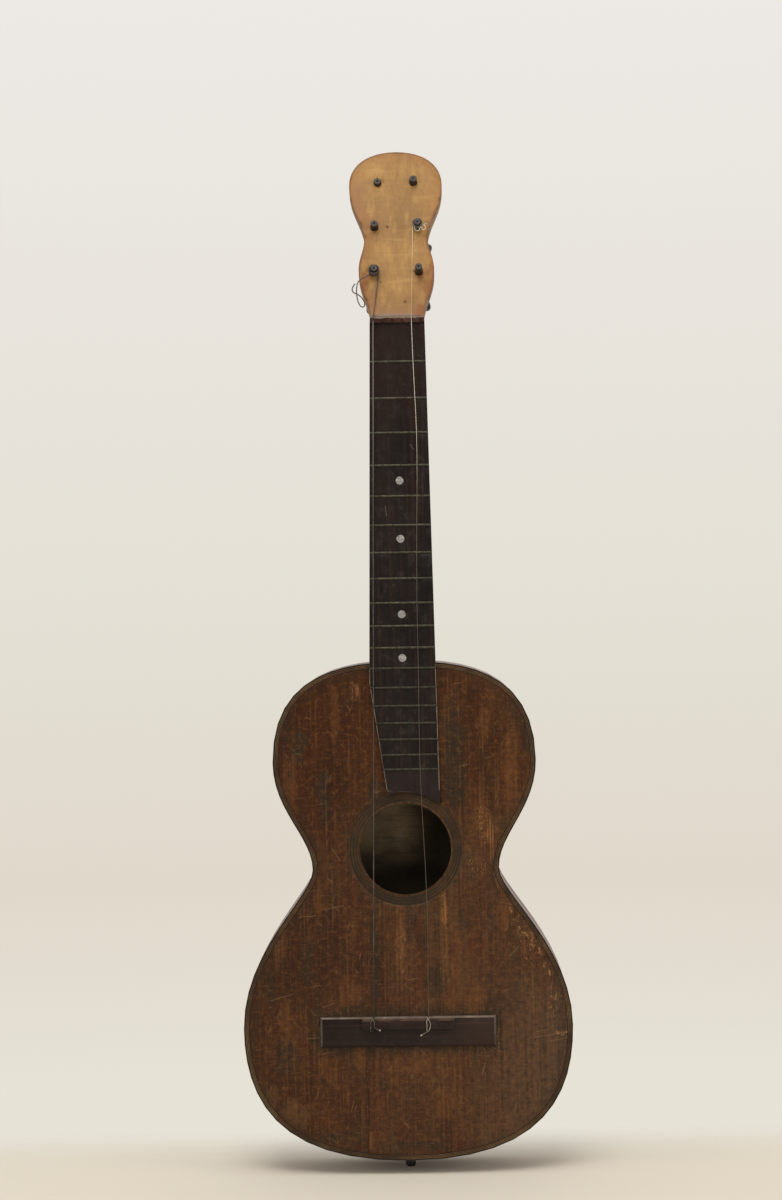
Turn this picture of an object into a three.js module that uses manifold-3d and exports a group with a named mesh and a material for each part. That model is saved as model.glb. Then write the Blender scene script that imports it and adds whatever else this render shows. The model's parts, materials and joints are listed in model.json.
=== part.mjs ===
// A small six-string guitar with friction pegs and a tie bridge, in millimetres.
// Z runs up the neck and the front faces -Y. The origin is on the centre line, where the
// strings leave the nut, in the flat plane that the soundboard shares with the neck's front.
import * as THREE from 'three';
import { mergeVertices } from 'three/addons/utils/BufferGeometryUtils.js';
import Module from 'manifold-3d';

// Fits
const fitGap = 0.3;
const cutOverrun = 5;
const farReach = 900;

// String length and the spacing of the six strings
const scaleLength = 566;
const stringCount = 6;
const stringSpreadAtNut = 39.2;
const stringSpreadAtBridge = 56;
const bassDiameter = 1;
const trebleDiameter = 0.8;
const tailDiameter = 0.95;
const trebleStray = 2.2;
const stringHeightAtNut = 4.95;
const stringHeightAtBridge = 8.75;
const stringTurnSteps = 3;
const slackSteps = 30;
const tailSteps = 40;

// Body
const bodyLength = 409.5;
const bodyAboveTwelfthFret = 5.5;
const upperBoutWidth = 216;
const waistWidth = 152.8;
const lowerBoutWidth = 270;
const upperBoutShare = 0.2;
const waistShare = 0.415;
const lowerBoutShare = 0.732;
const shoulderShares = [0.42, 0.93];
const upperFlankShares = [0.45, 0.31];
const lowerFlankShares = [0.165, 0.495];
const tailShares = [0.5, 0.83];
const bodyDepthAtNeck = 68;
const bodyDepthAtTail = 76;
const topThickness = 2.4;
const backThickness = 2.6;
const ribThickness = 2;
const purflingWidth = 4.2;
const outlineSteps = 12;

// Inside the body
const liningWidth = 5;
const liningHeight = 12;
const blockWidth = 62;
const neckBlockLength = 22;
const endBlockLength = 16;
const braceWidth = 9;
const braceHeight = 13;
const braceShoulderShare = 0.55;
const topBraceShares = [0.245, 0.481, 0.608, 0.871];
const backBraceShares = [0.172, 0.521, 0.761];
const labelWidth = 56;
const labelHeight = 40;
const labelThickness = 0.3;
const labelRise = 10;

// Soundhole and its ring
const soundholeRadius = 37.5;
const soundholeShare = 0.3756;
const rosetteInset = 1.8;
const rosetteWidth = 6.9;
const rosetteDepth = 1.2;
const roundSteps = 48;

// Neck and heel
const neckDepthAtNut = 17.5;
const neckDepthAtBody = 20;
const neckRoundness = 0.8;
const neckSquareness = 0.4;
const neckBlendLength = 22;
const heelCapWidth = 27;
const heelCapLength = 15;
const heelRunOut = 62;
const heelStart = 12;
const heelSweep = 2.4;
const heelTaper = 0.8;
const neckSteps = 14;
const heelRings = 8;

// Fingerboard, nut and frets
const boardThickness = 3;
const boardWidthAtNut = 45;
const boardWidthAtTwelfth = 54.4;
const boardSideCut = 17.2;
const boardTipOffset = 14;
const boardToRosette = 0.8;
const boardArcSteps = 10;
const fretCount = 18;
const fretWidth = 2;
const fretHeight = 0.9;
const fretTangWidth = 0.6;
const fretTangDepth = 1.8;
const fretEndInset = 0.4;
const crownSteps = 4;
const nutThickness = 3.7;
const nutHeight = 5.6;
const nutNotchWidth = 1.7;
const dotDiameter = 6.5;
const dotDepth = 1;
const dottedFrets = [5, 7, 10, 12];
const dotSteps = 16;

// Head
const headTilt = THREE.MathUtils.degToRad(18);
const headLength = 149;
const headThickness = 15;
const headLedge = 2;
const headWidthAtNut = 44.5;
const headBulgeWidth = 62.4;
const headWaistWidth = 52.6;
const headBulbWidth = 77.2;
const headBulgeShare = 0.2745;
const headWaistShare = 0.465;
const headBulbShare = 0.793;
const headCrownShares = [0.6, 0.62];
const headBulbShares = [0.42, 0.32];
const headBulgeShares = [0.35, 0.42];
const headFootShares = [0.38, 0.28];

// Pegs
const pegTipRadius = 3;
const pegTaper = 1 / 56;
const pegCollarRadius = 5.4;
const pegCollarLength = 2.2;
const pegCollarRoundShare = 0.25;
const pegShaftLength = 40.6;
const pegStemLength = 7.5;
const pegTipRound = 0.6;
const paddleWidth = 27;
const paddleLength = 27;
const paddleThickness = 6.4;
const paddleEdge = 1.3;
const paddleWaistShare = 0.34;
const paddleCurveSteps = 6;
const paddleEdgeSteps = 2;
const pegHoleInset = 1.7;
const pegHoleRadius = 0.8;
const pegSides = 20;
const longestPegTip = 11;
const lowerPegSpread = 36.8;
const middlePegSpread = 35.6;
const upperPegSpread = 29.8;
const lowerPegRiseShare = 0.264;
const middlePegRiseShare = 0.539;
const upperPegRiseShare = 0.811;

// Turns of string on the two strung pegs
const bassTurns = 4;
const trebleTurns = 3;
const turnGap = 0.55;
const turnSteps = 24;
const windingSides = 6;
const stringSides = 8;

// Bridge
const bridgeWidth = 144;
const bridgeLength = 24.5;
const bridgeSetBack = 2.5;
const bridgeThickness = 4.5;
const bridgeChamfer = 1.6;
const bridgeFrontChamfer = 0.4;
const tieBlockWidth = 76;
const tieBlockLength = 9.2;
const tieBlockHeight = 8.6;
const tieBlockChamfer = 0.6;
const tieBlockLedge = 0.8;
const tieHoleHeight = 5.6;
const tieHoleRadius = 0.9;
const edgingWidth = 2;
const edgingHeight = 1.4;

// End pin
const pinProjection = 11.5;
const pinButtonRadius = 4.2;
const pinButtonLength = 7.5;
const pinCrownShare = 0.8;
const pinBandShares = [0.25, 0.6];
const pinNeckRadius = 2.9;
const pinShaftRadius = 3.5;
const pinShaftLength = 15;
const pinSides = 20;

// Places worked out from the sizes
const bodyTop = -(scaleLength / 2 - bodyAboveTwelfthFret);
const bodyTail = bodyTop - bodyLength;
const soundholeZ = bodyTop - soundholeShare * bodyLength;
const bridgeFront = -(scaleLength + bridgeSetBack);
const tieBlockFront = bridgeFront - tieBlockLedge;
const headStart = nutThickness + headLedge;
const rosetteInner = soundholeRadius + rosetteInset;
const rosetteOuter = rosetteInner + rosetteWidth;
const pinY = bodyDepthAtTail / 2;

const wasm = await Module();
wasm.setup();

// Turns a geometry into a solid: only positions are kept, empty triangles go, faces point out.
function solidOf(geometry) {
  const bare = geometry.clone();
  bare.deleteAttribute('normal');
  bare.deleteAttribute('uv');
  const merged = mergeVertices(bare);
  const corners = merged.attributes.position.array;
  const kept = [];
  let volume = 0;
  for (let i = 0; i < merged.index.count; i += 3) {
    const [a, b, c] = [0, 1, 2].map((step) => merged.index.getX(i + step));
    if (a === b || b === c || c === a) continue;
    kept.push(a, b, c);
    const [p, q, r] = [a, b, c].map((n) => new THREE.Vector3().fromArray(corners, 3 * n));
    volume += p.dot(q.cross(r));
  }
  if (volume < 0) kept.reverse();
  const mesh = new wasm.Mesh({
    numProp: 3,
    vertProperties: new Float32Array(corners),
    triVerts: new Uint32Array(kept),
  });
  return new wasm.Manifold(mesh);
}

function geometryOf(solid) {
  const mesh = solid.getMesh();
  const geometry = new THREE.BufferGeometry();
  geometry.setAttribute('position', new THREE.BufferAttribute(mesh.vertProperties, 3));
  geometry.setIndex(new THREE.BufferAttribute(mesh.triVerts, 1));
  geometry.computeVertexNormals();
  return geometry;
}

function cutAll(solid, tools) {
  return tools.reduce((left, tool) => left.subtract(tool), solid);
}

const valueAt = (rule, place) => (typeof rule === 'function' ? rule(place) : rule);

// A flat board: its outline is drawn in X and Z, and its two faces lie at the given Y.
function board(shape, front, back) {
  const geometry = new THREE.ExtrudeGeometry(shape, { depth: 1, bevelEnabled: false, curveSegments: 1 });
  const place = geometry.attributes.position;
  for (let i = 0; i < place.count; i += 1) {
    const z = place.getY(i);
    const y = valueAt(place.getZ(i) > 0 ? front : back, z);
    place.setXYZ(i, place.getX(i), y, z);
  }
  return solidOf(geometry);
}

// A bar along X: its section is drawn in Z and Y.
function bar(section, left, right) {
  const shape = new THREE.Shape(section);
  const geometry = new THREE.ExtrudeGeometry(shape, { depth: 1, bevelEnabled: false, curveSegments: 1 });
  const place = geometry.attributes.position;
  for (let i = 0; i < place.count; i += 1) {
    place.setXYZ(i, place.getZ(i) > 0 ? right : left, place.getY(i), place.getX(i));
  }
  return solidOf(geometry);
}

function box(xRange, yRange, zRange) {
  const outline = [
    new THREE.Vector2(xRange[0], zRange[0]),
    new THREE.Vector2(xRange[1], zRange[0]),
    new THREE.Vector2(xRange[1], zRange[1]),
    new THREE.Vector2(xRange[0], zRange[1]),
  ];
  return board(new THREE.Shape(outline), yRange[0], yRange[1]);
}

// A skin over a row of closed rings, with a flat fan over each end. The rings are convex.
function loft(rings) {
  const count = rings[0].length;
  const corners = rings.flat().flatMap((p) => [p.x, p.y, p.z]);
  const faces = [];
  for (let row = 0; row < rings.length - 1; row += 1) {
    for (let i = 0; i < count; i += 1) {
      const here = row * count + i;
      const next = row * count + ((i + 1) % count);
      faces.push(here, next, next + count, here, next + count, here + count);
    }
  }
  const last = (rings.length - 1) * count;
  for (let i = 1; i < count - 1; i += 1) {
    faces.push(0, i + 1, i, last, last + i, last + i + 1);
  }
  const geometry = new THREE.BufferGeometry();
  geometry.setAttribute('position', new THREE.Float32BufferAttribute(corners, 3));
  geometry.setIndex(faces);
  return solidOf(geometry);
}

const rectRing = (halfWidth, y, low, high) => [
  new THREE.Vector3(-halfWidth, y, low),
  new THREE.Vector3(halfWidth, y, low),
  new THREE.Vector3(halfWidth, y, high),
  new THREE.Vector3(-halfWidth, y, high),
];

function circle(radius, steps, z = 0) {
  const points = [];
  for (let i = 0; i < steps; i += 1) {
    const turn = (2 * Math.PI * i) / steps;
    points.push(new THREE.Vector2(radius * Math.cos(turn), z + radius * Math.sin(turn)));
  }
  return points;
}

function ringShape(outer, inner) {
  const shape = new THREE.Shape(outer);
  shape.holes.push(new THREE.Path(inner));
  return shape;
}

// Half outlines run down the right side through stations of [half width, height]. The curve
// is upright at each station between its two ends, and the shares place its handles.
function sideCurves(stations, shares, levelEnd) {
  return shares.map(([leave, arrive], i) => {
    const [fromX, fromZ] = stations[i];
    const [toX, toZ] = stations[i + 1];
    const drop = fromZ - toZ;
    const level = levelEnd && i === shares.length - 1;
    const first = i === 0
      ? new THREE.Vector2(leave * toX, fromZ)
      : new THREE.Vector2(fromX, fromZ - leave * drop);
    const second = level
      ? new THREE.Vector2(arrive * fromX, toZ)
      : new THREE.Vector2(toX, toZ + arrive * drop);
    return new THREE.CubicBezierCurve(
      new THREE.Vector2(fromX, fromZ), first, second, new THREE.Vector2(toX, toZ),
    );
  });
}

// The points of a half outline, drawn in by an inset, then mirrored to close the outline.
function closedOutline(curves, inset) {
  const half = [];
  curves.forEach((curve, n) => {
    const last = n === curves.length - 1 ? outlineSteps : outlineSteps - 1;
    for (let i = 0; i <= last; i += 1) {
      const t = i / outlineSteps;
      const point = curve.getPoint(t);
      const along = curve.getTangent(t);
      half.push(new THREE.Vector2(point.x + inset * along.y, point.y - inset * along.x));
    }
  });
  const onAxis = (p) => Math.abs(p.x) < fitGap / outlineSteps;
  half.filter(onAxis).forEach((p) => p.setX(0));
  const mirrored = half.filter((p) => !onAxis(p)).map((p) => new THREE.Vector2(-p.x, p.y));
  return [...mirrored, ...half.reverse()];
}

const bodyCurves = sideCurves(
  [
    [0, bodyTop],
    [upperBoutWidth / 2, bodyTop - upperBoutShare * bodyLength],
    [waistWidth / 2, bodyTop - waistShare * bodyLength],
    [lowerBoutWidth / 2, bodyTop - lowerBoutShare * bodyLength],
    [0, bodyTail],
  ],
  [shoulderShares, upperFlankShares, lowerFlankShares, tailShares],
  true,
);
const bodyOutline = (inset) => closedOutline(bodyCurves, inset);

// The back slopes away from the soundboard towards the tail.
const backSlope = (bodyDepthAtTail - bodyDepthAtNeck) / bodyLength;
const backFace = (z) => bodyDepthAtNeck + backSlope * (bodyTop - z);
const backInside = (z) => backFace(z) - backThickness;
const backSeat = (z) => backInside(z) - fitGap;

// Pieces are kept in the guitar's own frame or in the head's tilted frame.
const guitar = new THREE.Group();
const head = new THREE.Group();
head.rotation.x = -headTilt;
head.position.z = headStart;
guitar.add(head);
head.updateMatrix();

function finish(color, roughness, metalness = 0) {
  return { color, roughness, metalness };
}

const finishes = {
  top: finish(0x5e3a20, 0.5),
  sides: finish(0x4a2c1a, 0.4),
  neckWood: finish(0x6b4528, 0.45),
  headWood: finish(0xb58848, 0.5),
  darkWood: finish(0x2e211d, 0.5),
  ebonised: finish(0x1f1b1a, 0.35),
  innerWood: finish(0xa88658, 0.8),
  lines: finish(0xb9a684, 0.5),
  fretMetal: finish(0x9a8a60, 0.35, 0.9),
  bone: finish(0xd8ccb0, 0.4),
  paper: finish(0xb5a27c, 0.9),
  wound: finish(0x4d4a46, 0.4, 0.7),
  gut: finish(0xd9cdb6, 0.4),
};

function place(name, solid, look, parent = guitar) {
  const mesh = new THREE.Mesh(geometryOf(solid), new THREE.MeshStandardMaterial(look));
  mesh.name = name;
  parent.add(mesh);
  return mesh;
}

// Body shell
const splitSides = [['bass', -1], ['treble', 1]];
const halfSpace = (side, clearance) => box(
  [clearance, farReach].map((x) => side * x).sort((a, b) => a - b),
  [-farReach, farReach],
  [-farReach, farReach],
);

function pinTool(gap) {
  const lathe = new THREE.LatheGeometry(
    [
      new THREE.Vector2(0, -cutOverrun),
      new THREE.Vector2(pinShaftRadius + gap, -cutOverrun),
      new THREE.Vector2(pinShaftRadius + gap, 0),
      new THREE.Vector2(pinNeckRadius + gap, pinShaftLength + gap),
      new THREE.Vector2(0, pinShaftLength + gap),
    ],
    pinSides,
  );
  return uprightLathe(lathe).translate([0, pinY, bodyTail]);
}

// A lathe turns about Y, and this stands it up along Z.
function uprightLathe(geometry) {
  const place = geometry.attributes.position;
  for (let i = 0; i < place.count; i += 1) {
    place.setXYZ(i, place.getX(i), -place.getZ(i), place.getY(i));
  }
  return solidOf(geometry);
}

function makeShell() {
  const soundboardOutline = bodyOutline(purflingWidth + fitGap);
  const hole = circle(soundholeRadius, roundSteps, soundholeZ);
  const channel = board(
    ringShape(
      circle(rosetteOuter + fitGap, roundSteps, soundholeZ),
      circle(rosetteInner - fitGap, roundSteps, soundholeZ),
    ),
    -cutOverrun,
    rosetteDepth + fitGap,
  );
  const soundboard = board(ringShape(soundboardOutline, hole), 0, topThickness);
  place('soundboard', soundboard.subtract(channel), finishes.top);
  const rosette = ringShape(
    circle(rosetteOuter, roundSteps, soundholeZ),
    circle(rosetteInner, roundSteps, soundholeZ),
  );
  place('soundhole_ring', board(rosette, 0, rosetteDepth), finishes.lines);
  const purfling = ringShape(bodyOutline(0), bodyOutline(purflingWidth));
  place('top_purfling', board(purfling, 0, topThickness), finishes.lines);
  place('back_plate', board(new THREE.Shape(bodyOutline(0)), backInside, backFace), finishes.sides);

  const wall = board(ringShape(bodyOutline(0), bodyOutline(ribThickness)), topThickness, backSeat);
  const pinHole = pinTool(fitGap);
  splitSides.forEach(([name, side]) => {
    const half = wall.intersect(halfSpace(side, fitGap / 2));
    place(`rib_${name}`, half.subtract(pinHole), finishes.sides);
  });
}

function makeInside() {
  const againstRib = ribThickness + fitGap;
  const blockHalf = blockWidth / 2;
  const cavity = board(new THREE.Shape(bodyOutline(againstRib)), topThickness, backSeat);
  const neckBlockRange = [bodyTop - againstRib - neckBlockLength, bodyTop];
  const endBlockRange = [bodyTail, bodyTail + againstRib + endBlockLength];
  const block = (zRange) => box([-blockHalf, blockHalf], [-cutOverrun, farReach], zRange);
  place('neck_block', cavity.intersect(block(neckBlockRange)), finishes.innerWood);
  const endBlock = cavity.intersect(block(endBlockRange)).subtract(pinTool(fitGap));
  place('end_block', endBlock, finishes.innerWood);

  const liningRing = ringShape(bodyOutline(againstRib), bodyOutline(againstRib + liningWidth));
  const liningFront = (z) => backSeat(z) - liningHeight;
  const linings = [
    ['top_lining', board(liningRing, topThickness, topThickness + liningHeight)],
    ['back_lining', board(liningRing, liningFront, backSeat)],
  ];
  linings.forEach(([kind, ring]) => {
    splitSides.forEach(([name, side]) => {
      const half = ring.intersect(halfSpace(side, blockHalf + fitGap));
      place(`${kind}_${name}`, half, finishes.innerWood);
    });
  });

  const insideLinings = againstRib + liningWidth + fitGap;
  const braceRoom = board(new THREE.Shape(bodyOutline(insideLinings)), -cutOverrun, farReach);
  const braceBar = (z, seat, towards) => {
    const rule = (dz, share) => new THREE.Vector2(
      z + dz, valueAt(seat, z + dz) + towards * share * braceHeight,
    );
    const halfWidth = braceWidth / 2;
    return bar([
      rule(-halfWidth, 0), rule(halfWidth, 0), rule(halfWidth, braceShoulderShare),
      rule(0, 1), rule(-halfWidth, braceShoulderShare),
    ], -lowerBoutWidth, lowerBoutWidth).intersect(braceRoom);
  };
  topBraceShares.forEach((share, i) => {
    const z = bodyTop - share * bodyLength;
    place(`top_brace_${i + 1}`, braceBar(z, topThickness, 1), finishes.innerWood);
  });
  backBraceShares.forEach((share, i) => {
    const z = bodyTop - share * bodyLength;
    place(`back_brace_${i + 1}`, braceBar(z, backSeat, -1), finishes.innerWood);
  });

  const labelShape = new THREE.Shape([
    new THREE.Vector2(-labelWidth / 2, soundholeZ + labelRise - labelHeight / 2),
    new THREE.Vector2(labelWidth / 2, soundholeZ + labelRise - labelHeight / 2),
    new THREE.Vector2(labelWidth / 2, soundholeZ + labelRise + labelHeight / 2),
    new THREE.Vector2(-labelWidth / 2, soundholeZ + labelRise + labelHeight / 2),
  ]);
  const label = board(labelShape, (z) => backSeat(z) - labelThickness, backSeat);
  place('paper_label', label, finishes.paper);
}

// Neck: a rounded shaft whose end squares up to meet the head, and a heel carved down to the back.
const boardHalf = (z) => (boardWidthAtNut
  + (boardWidthAtTwelfth - boardWidthAtNut) * (-z / (scaleLength / 2))) / 2;
const neckFoot = bodyTop + fitGap;

function neckRing(z, depth, roundness) {
  const ring = [];
  const halfWidth = z > 0 ? headWidthAtNut / 2 : boardHalf(z);
  for (let i = 0; i <= neckSteps; i += 1) {
    const turn = (Math.PI * i) / neckSteps;
    const across = Math.abs(Math.cos(turn)) ** roundness * Math.sign(Math.cos(turn));
    const down = Math.abs(Math.sin(turn)) ** roundness;
    const atEdge = i === 0 || i === neckSteps;
    ring.push(new THREE.Vector3(halfWidth * across, atEdge ? 0 : depth * down, z));
  }
  return ring;
}

function heelRing(share) {
  const depth = heelStart + share * (backFace(neckFoot) - heelStart);
  const widest = boardHalf(neckFoot);
  const halfWidth = THREE.MathUtils.lerp(widest, heelCapWidth / 2, share ** heelTaper);
  const length = heelCapLength + (heelRunOut - heelCapLength) * (1 - share) ** heelSweep;
  const ring = [];
  for (let i = 0; i <= neckSteps; i += 1) {
    const turn = (Math.PI * i) / neckSteps;
    const rise = i === 0 || i === neckSteps ? 0 : length * Math.sin(turn) ** neckRoundness;
    const across = Math.abs(Math.cos(turn)) ** neckRoundness * Math.sign(Math.cos(turn));
    ring.push(new THREE.Vector3(halfWidth * across, depth, neckFoot - cutOverrun + rise));
  }
  return ring;
}

function makeNeck() {
  const endDepth = headThickness / Math.cos(headTilt);
  const shaft = loft([
    neckRing(headStart + cutOverrun, endDepth, neckSquareness),
    neckRing(-headLedge, endDepth, neckSquareness),
    neckRing(-neckBlendLength, neckDepthAtNut, neckRoundness),
    neckRing(neckFoot - cutOverrun, neckDepthAtBody, neckRoundness),
  ]);
  const heel = [];
  for (let i = 0; i <= heelRings; i += 1) {
    heel.push(heelRing(i / heelRings));
  }
  const bodyRoom = board(new THREE.Shape(bodyOutline(-fitGap)), -cutOverrun, farReach);
  const headRoom = box(
    [-farReach, farReach], [-farReach, farReach], [0, farReach],
  ).transform(head.matrix.elements);
  const frontRoom = box([-farReach, farReach], [-farReach, 0], [-farReach, farReach]);
  const neck = cutAll(shaft.add(loft(heel)), [bodyRoom, headRoom, frontRoom]);
  place('neck', neck, finishes.neckWood);
}

// Fingerboard: it ends in an arc round the soundhole's ring, and its bass side is cut away slantwise.
const boardArcRadius = rosetteOuter + boardToRosette;
const cornerZ = bodyTop - boardSideCut;
const bassTipZ = soundholeZ + Math.sqrt(boardArcRadius ** 2 - boardTipOffset ** 2);
const trebleTipZ = (() => {
  const slope = (boardHalf(-1) - boardHalf(0));
  const a = slope ** 2 + 1;
  const b = boardHalf(0) * slope + soundholeZ;
  const c = boardHalf(0) ** 2 + soundholeZ ** 2 - boardArcRadius ** 2;
  return (b + Math.sqrt(b ** 2 - a * c)) / a;
})();

function bassEdge(z) {
  if (z >= cornerZ) return -boardHalf(z);
  const share = (cornerZ - z) / (cornerZ - bassTipZ);
  return THREE.MathUtils.lerp(-boardHalf(cornerZ), -boardTipOffset, share);
}

const fretZ = (n) => -scaleLength * (1 - 2 ** (-n / 12));

function makeFingerboard() {
  const outline = [
    new THREE.Vector2(-boardHalf(0), 0),
    new THREE.Vector2(bassEdge(cornerZ), cornerZ),
  ];
  const bassTurn = Math.atan2(bassTipZ - soundholeZ, -boardTipOffset);
  const trebleTurn = Math.atan2(trebleTipZ - soundholeZ, boardHalf(trebleTipZ));
  for (let i = 0; i <= boardArcSteps; i += 1) {
    const turn = THREE.MathUtils.lerp(bassTurn, trebleTurn, i / boardArcSteps);
    outline.push(new THREE.Vector2(
      boardArcRadius * Math.cos(turn), soundholeZ + boardArcRadius * Math.sin(turn),
    ));
  }
  outline.push(new THREE.Vector2(boardHalf(0), 0));
  const tools = [];
  for (let n = 1; n <= fretCount; n += 1) {
    const halfSlot = fretTangWidth / 2 + fitGap;
    tools.push(box(
      [-boardWidthAtTwelfth, boardWidthAtTwelfth],
      [-boardThickness - cutOverrun, -boardThickness + fretTangDepth + fitGap],
      [fretZ(n) - halfSlot, fretZ(n) + halfSlot],
    ));
  }
  dottedFrets.forEach((n) => {
    const z = (fretZ(n) + fretZ(n - 1)) / 2;
    const seat = new THREE.Shape(circle(dotDiameter / 2 + fitGap, dotSteps, z));
    tools.push(board(seat, -boardThickness - cutOverrun, -boardThickness + dotDepth + fitGap));
    const dot = board(
      new THREE.Shape(circle(dotDiameter / 2, dotSteps, z)),
      -boardThickness,
      -boardThickness + dotDepth,
    );
    place(`position_dot_${n}`, dot, finishes.bone);
  });
  const blank = board(new THREE.Shape(outline), -boardThickness, 0);
  place('fingerboard', cutAll(blank, tools), finishes.darkWood);
}

function makeFret(n) {
  const z = fretZ(n);
  const section = [
    new THREE.Vector2(z - fretTangWidth / 2, -boardThickness),
    new THREE.Vector2(z - fretTangWidth / 2, -boardThickness + fretTangDepth),
    new THREE.Vector2(z + fretTangWidth / 2, -boardThickness + fretTangDepth),
    new THREE.Vector2(z + fretTangWidth / 2, -boardThickness),
  ];
  for (let i = 0; i <= crownSteps; i += 1) {
    const turn = (Math.PI * i) / crownSteps;
    const rise = i === 0 || i === crownSteps ? 0 : fretHeight * Math.sin(turn);
    section.push(new THREE.Vector2(z + (fretWidth / 2) * Math.cos(turn), -boardThickness - rise));
  }
  const fret = bar(section, bassEdge(z) + fretEndInset, boardHalf(z) - fretEndInset);
  place(`fret_${String(n).padStart(2, '0')}`, fret, finishes.fretMetal);
}

// Strings are counted from the treble side, so string 1 is furthest right.
const stringX = (n, spread) => spread / 2 - ((n - 1) * spread) / (stringCount - 1);

function makeNut() {
  const half = headWidthAtNut / 2;
  const blank = box([-half, half], [-nutHeight, 0], [0, nutThickness]);
  const floor = -(stringHeightAtNut - bassDiameter / 2 - fitGap);
  const notches = [];
  for (let n = 1; n <= stringCount; n += 1) {
    const x = stringX(n, stringSpreadAtNut);
    notches.push(box(
      [x - nutNotchWidth / 2, x + nutNotchWidth / 2],
      [-nutHeight - cutOverrun, floor],
      [-cutOverrun, nutThickness + cutOverrun],
    ));
  }
  place('nut', cutAll(blank, notches), finishes.darkWood);
}

// Pegs sit in the head's frame: X across, Y from the front face to the back, Z up the head.
const pegSeats = [
  { number: 1, side: 1, spread: lowerPegSpread, riseShare: lowerPegRiseShare, tipShare: 1, turn: 50 },
  { number: 2, side: 1, spread: middlePegSpread, riseShare: middlePegRiseShare, tipShare: 0.9, turn: -30 },
  { number: 3, side: 1, spread: upperPegSpread, riseShare: upperPegRiseShare, tipShare: 0.68, turn: -35 },
  { number: 4, side: -1, spread: upperPegSpread, riseShare: upperPegRiseShare, tipShare: 0.32, turn: 20 },
  { number: 5, side: -1, spread: middlePegSpread, riseShare: middlePegRiseShare, tipShare: 0.7, turn: 80 },
  { number: 6, side: -1, spread: lowerPegSpread, riseShare: lowerPegRiseShare, tipShare: 0.84, turn: -60 },
];
const pegX = (seat) => (seat.side * seat.spread) / 2;
const pegRise = (seat) => seat.riseShare * headLength;
const pegTip = (seat) => seat.tipShare * longestPegTip;
const pegRadius = (y, tip) => pegTipRadius + (y + tip) * pegTaper;

function pegHole(seat) {
  const tip = pegTip(seat);
  const low = -cutOverrun;
  const high = headThickness + cutOverrun;
  const cone = new THREE.LatheGeometry(
    [
      new THREE.Vector2(0, low),
      new THREE.Vector2(pegRadius(low, tip) + fitGap, low),
      new THREE.Vector2(pegRadius(high, tip) + fitGap, high),
      new THREE.Vector2(0, high),
    ],
    pegSides,
  );
  return solidOf(cone).translate([pegX(seat), 0, pegRise(seat)]);
}

function makeHead() {
  const stations = [
    [0, headLength],
    [headBulbWidth / 2, headBulbShare * headLength],
    [headWaistWidth / 2, headWaistShare * headLength],
    [headBulgeWidth / 2, headBulgeShare * headLength],
    [headWidthAtNut / 2, fitGap],
  ];
  const shares = [headCrownShares, headBulbShares, headBulgeShares, headFootShares];
  const outline = closedOutline(sideCurves(stations, shares, false), 0);
  const blank = board(new THREE.Shape(outline), 0, headThickness);
  place('headstock', cutAll(blank, pegSeats.map(pegHole)), finishes.headWood, head);
}

function makePeg(seat) {
  const tip = pegTip(seat);
  const collarFront = pegShaftLength - tip;
  const collarBack = collarFront + pegCollarLength;
  const stemBack = collarBack + pegStemLength;
  const collarRound = pegCollarRoundShare * pegCollarLength;
  const profile = [
    new THREE.Vector2(0, -tip),
    new THREE.Vector2(pegTipRadius - pegTipRound, -tip),
    new THREE.Vector2(pegTipRadius, -tip + pegTipRound),
    new THREE.Vector2(pegRadius(collarFront, tip), collarFront),
    new THREE.Vector2(pegCollarRadius, collarFront + collarRound),
    new THREE.Vector2(pegCollarRadius, collarBack - collarRound),
    new THREE.Vector2(pegRadius(collarBack, tip), collarBack),
    new THREE.Vector2(pegTipRadius, stemBack),
    new THREE.Vector2(0, stemBack),
  ];
  const shaft = solidOf(new THREE.LatheGeometry(profile, pegSides));
  const neck = stemBack - paddleEdge;
  const half = paddleWidth / 2 - paddleEdge;
  const reach = paddleLength - 2 * paddleEdge;
  const leaf = new THREE.Shape();
  leaf.moveTo(-pegTipRadius, 0);
  leaf.bezierCurveTo(-pegTipRadius, paddleWaistShare * reach, -half, 0, -half, reach / 2);
  leaf.bezierCurveTo(-half, reach, -half * paddleWaistShare, reach, 0, reach);
  leaf.bezierCurveTo(half * paddleWaistShare, reach, half, reach, half, reach / 2);
  leaf.bezierCurveTo(half, 0, pegTipRadius, paddleWaistShare * reach, pegTipRadius, 0);
  const paddle = new THREE.ExtrudeGeometry(leaf, {
    depth: paddleThickness - 2 * paddleEdge,
    bevelThickness: paddleEdge,
    bevelSize: paddleEdge,
    bevelSegments: paddleEdgeSteps,
    curveSegments: paddleCurveSteps,
  });
  paddle.translate(0, neck, -(paddleThickness / 2 - paddleEdge));
  const stringHole = new THREE.CylinderGeometry(
    pegHoleRadius, pegHoleRadius, pegTipRadius * 2 + cutOverrun, windingSides,
  );
  stringHole.rotateZ(Math.PI / 2);
  stringHole.translate(0, -tip + pegHoleInset, 0);
  const peg = shaft.add(solidOf(paddle)).subtract(solidOf(stringHole));
  const mesh = place(`peg_${seat.number}`, peg, finishes.ebonised, head);
  mesh.position.set(pegX(seat), 0, pegRise(seat));
  mesh.rotation.y = THREE.MathUtils.degToRad(seat.turn);
}

// A route goes from point to point, and a tube's rings stand at those points.
class Route extends THREE.Curve {
  constructor(points) {
    super();
    this.points = points;
  }

  getPoint(t, target = new THREE.Vector3()) {
    const along = t * (this.points.length - 1);
    const first = Math.min(Math.floor(along), this.points.length - 2);
    return target.lerpVectors(this.points[first], this.points[first + 1], along - first);
  }

  getUtoTmapping(u) {
    return u;
  }
}

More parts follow.
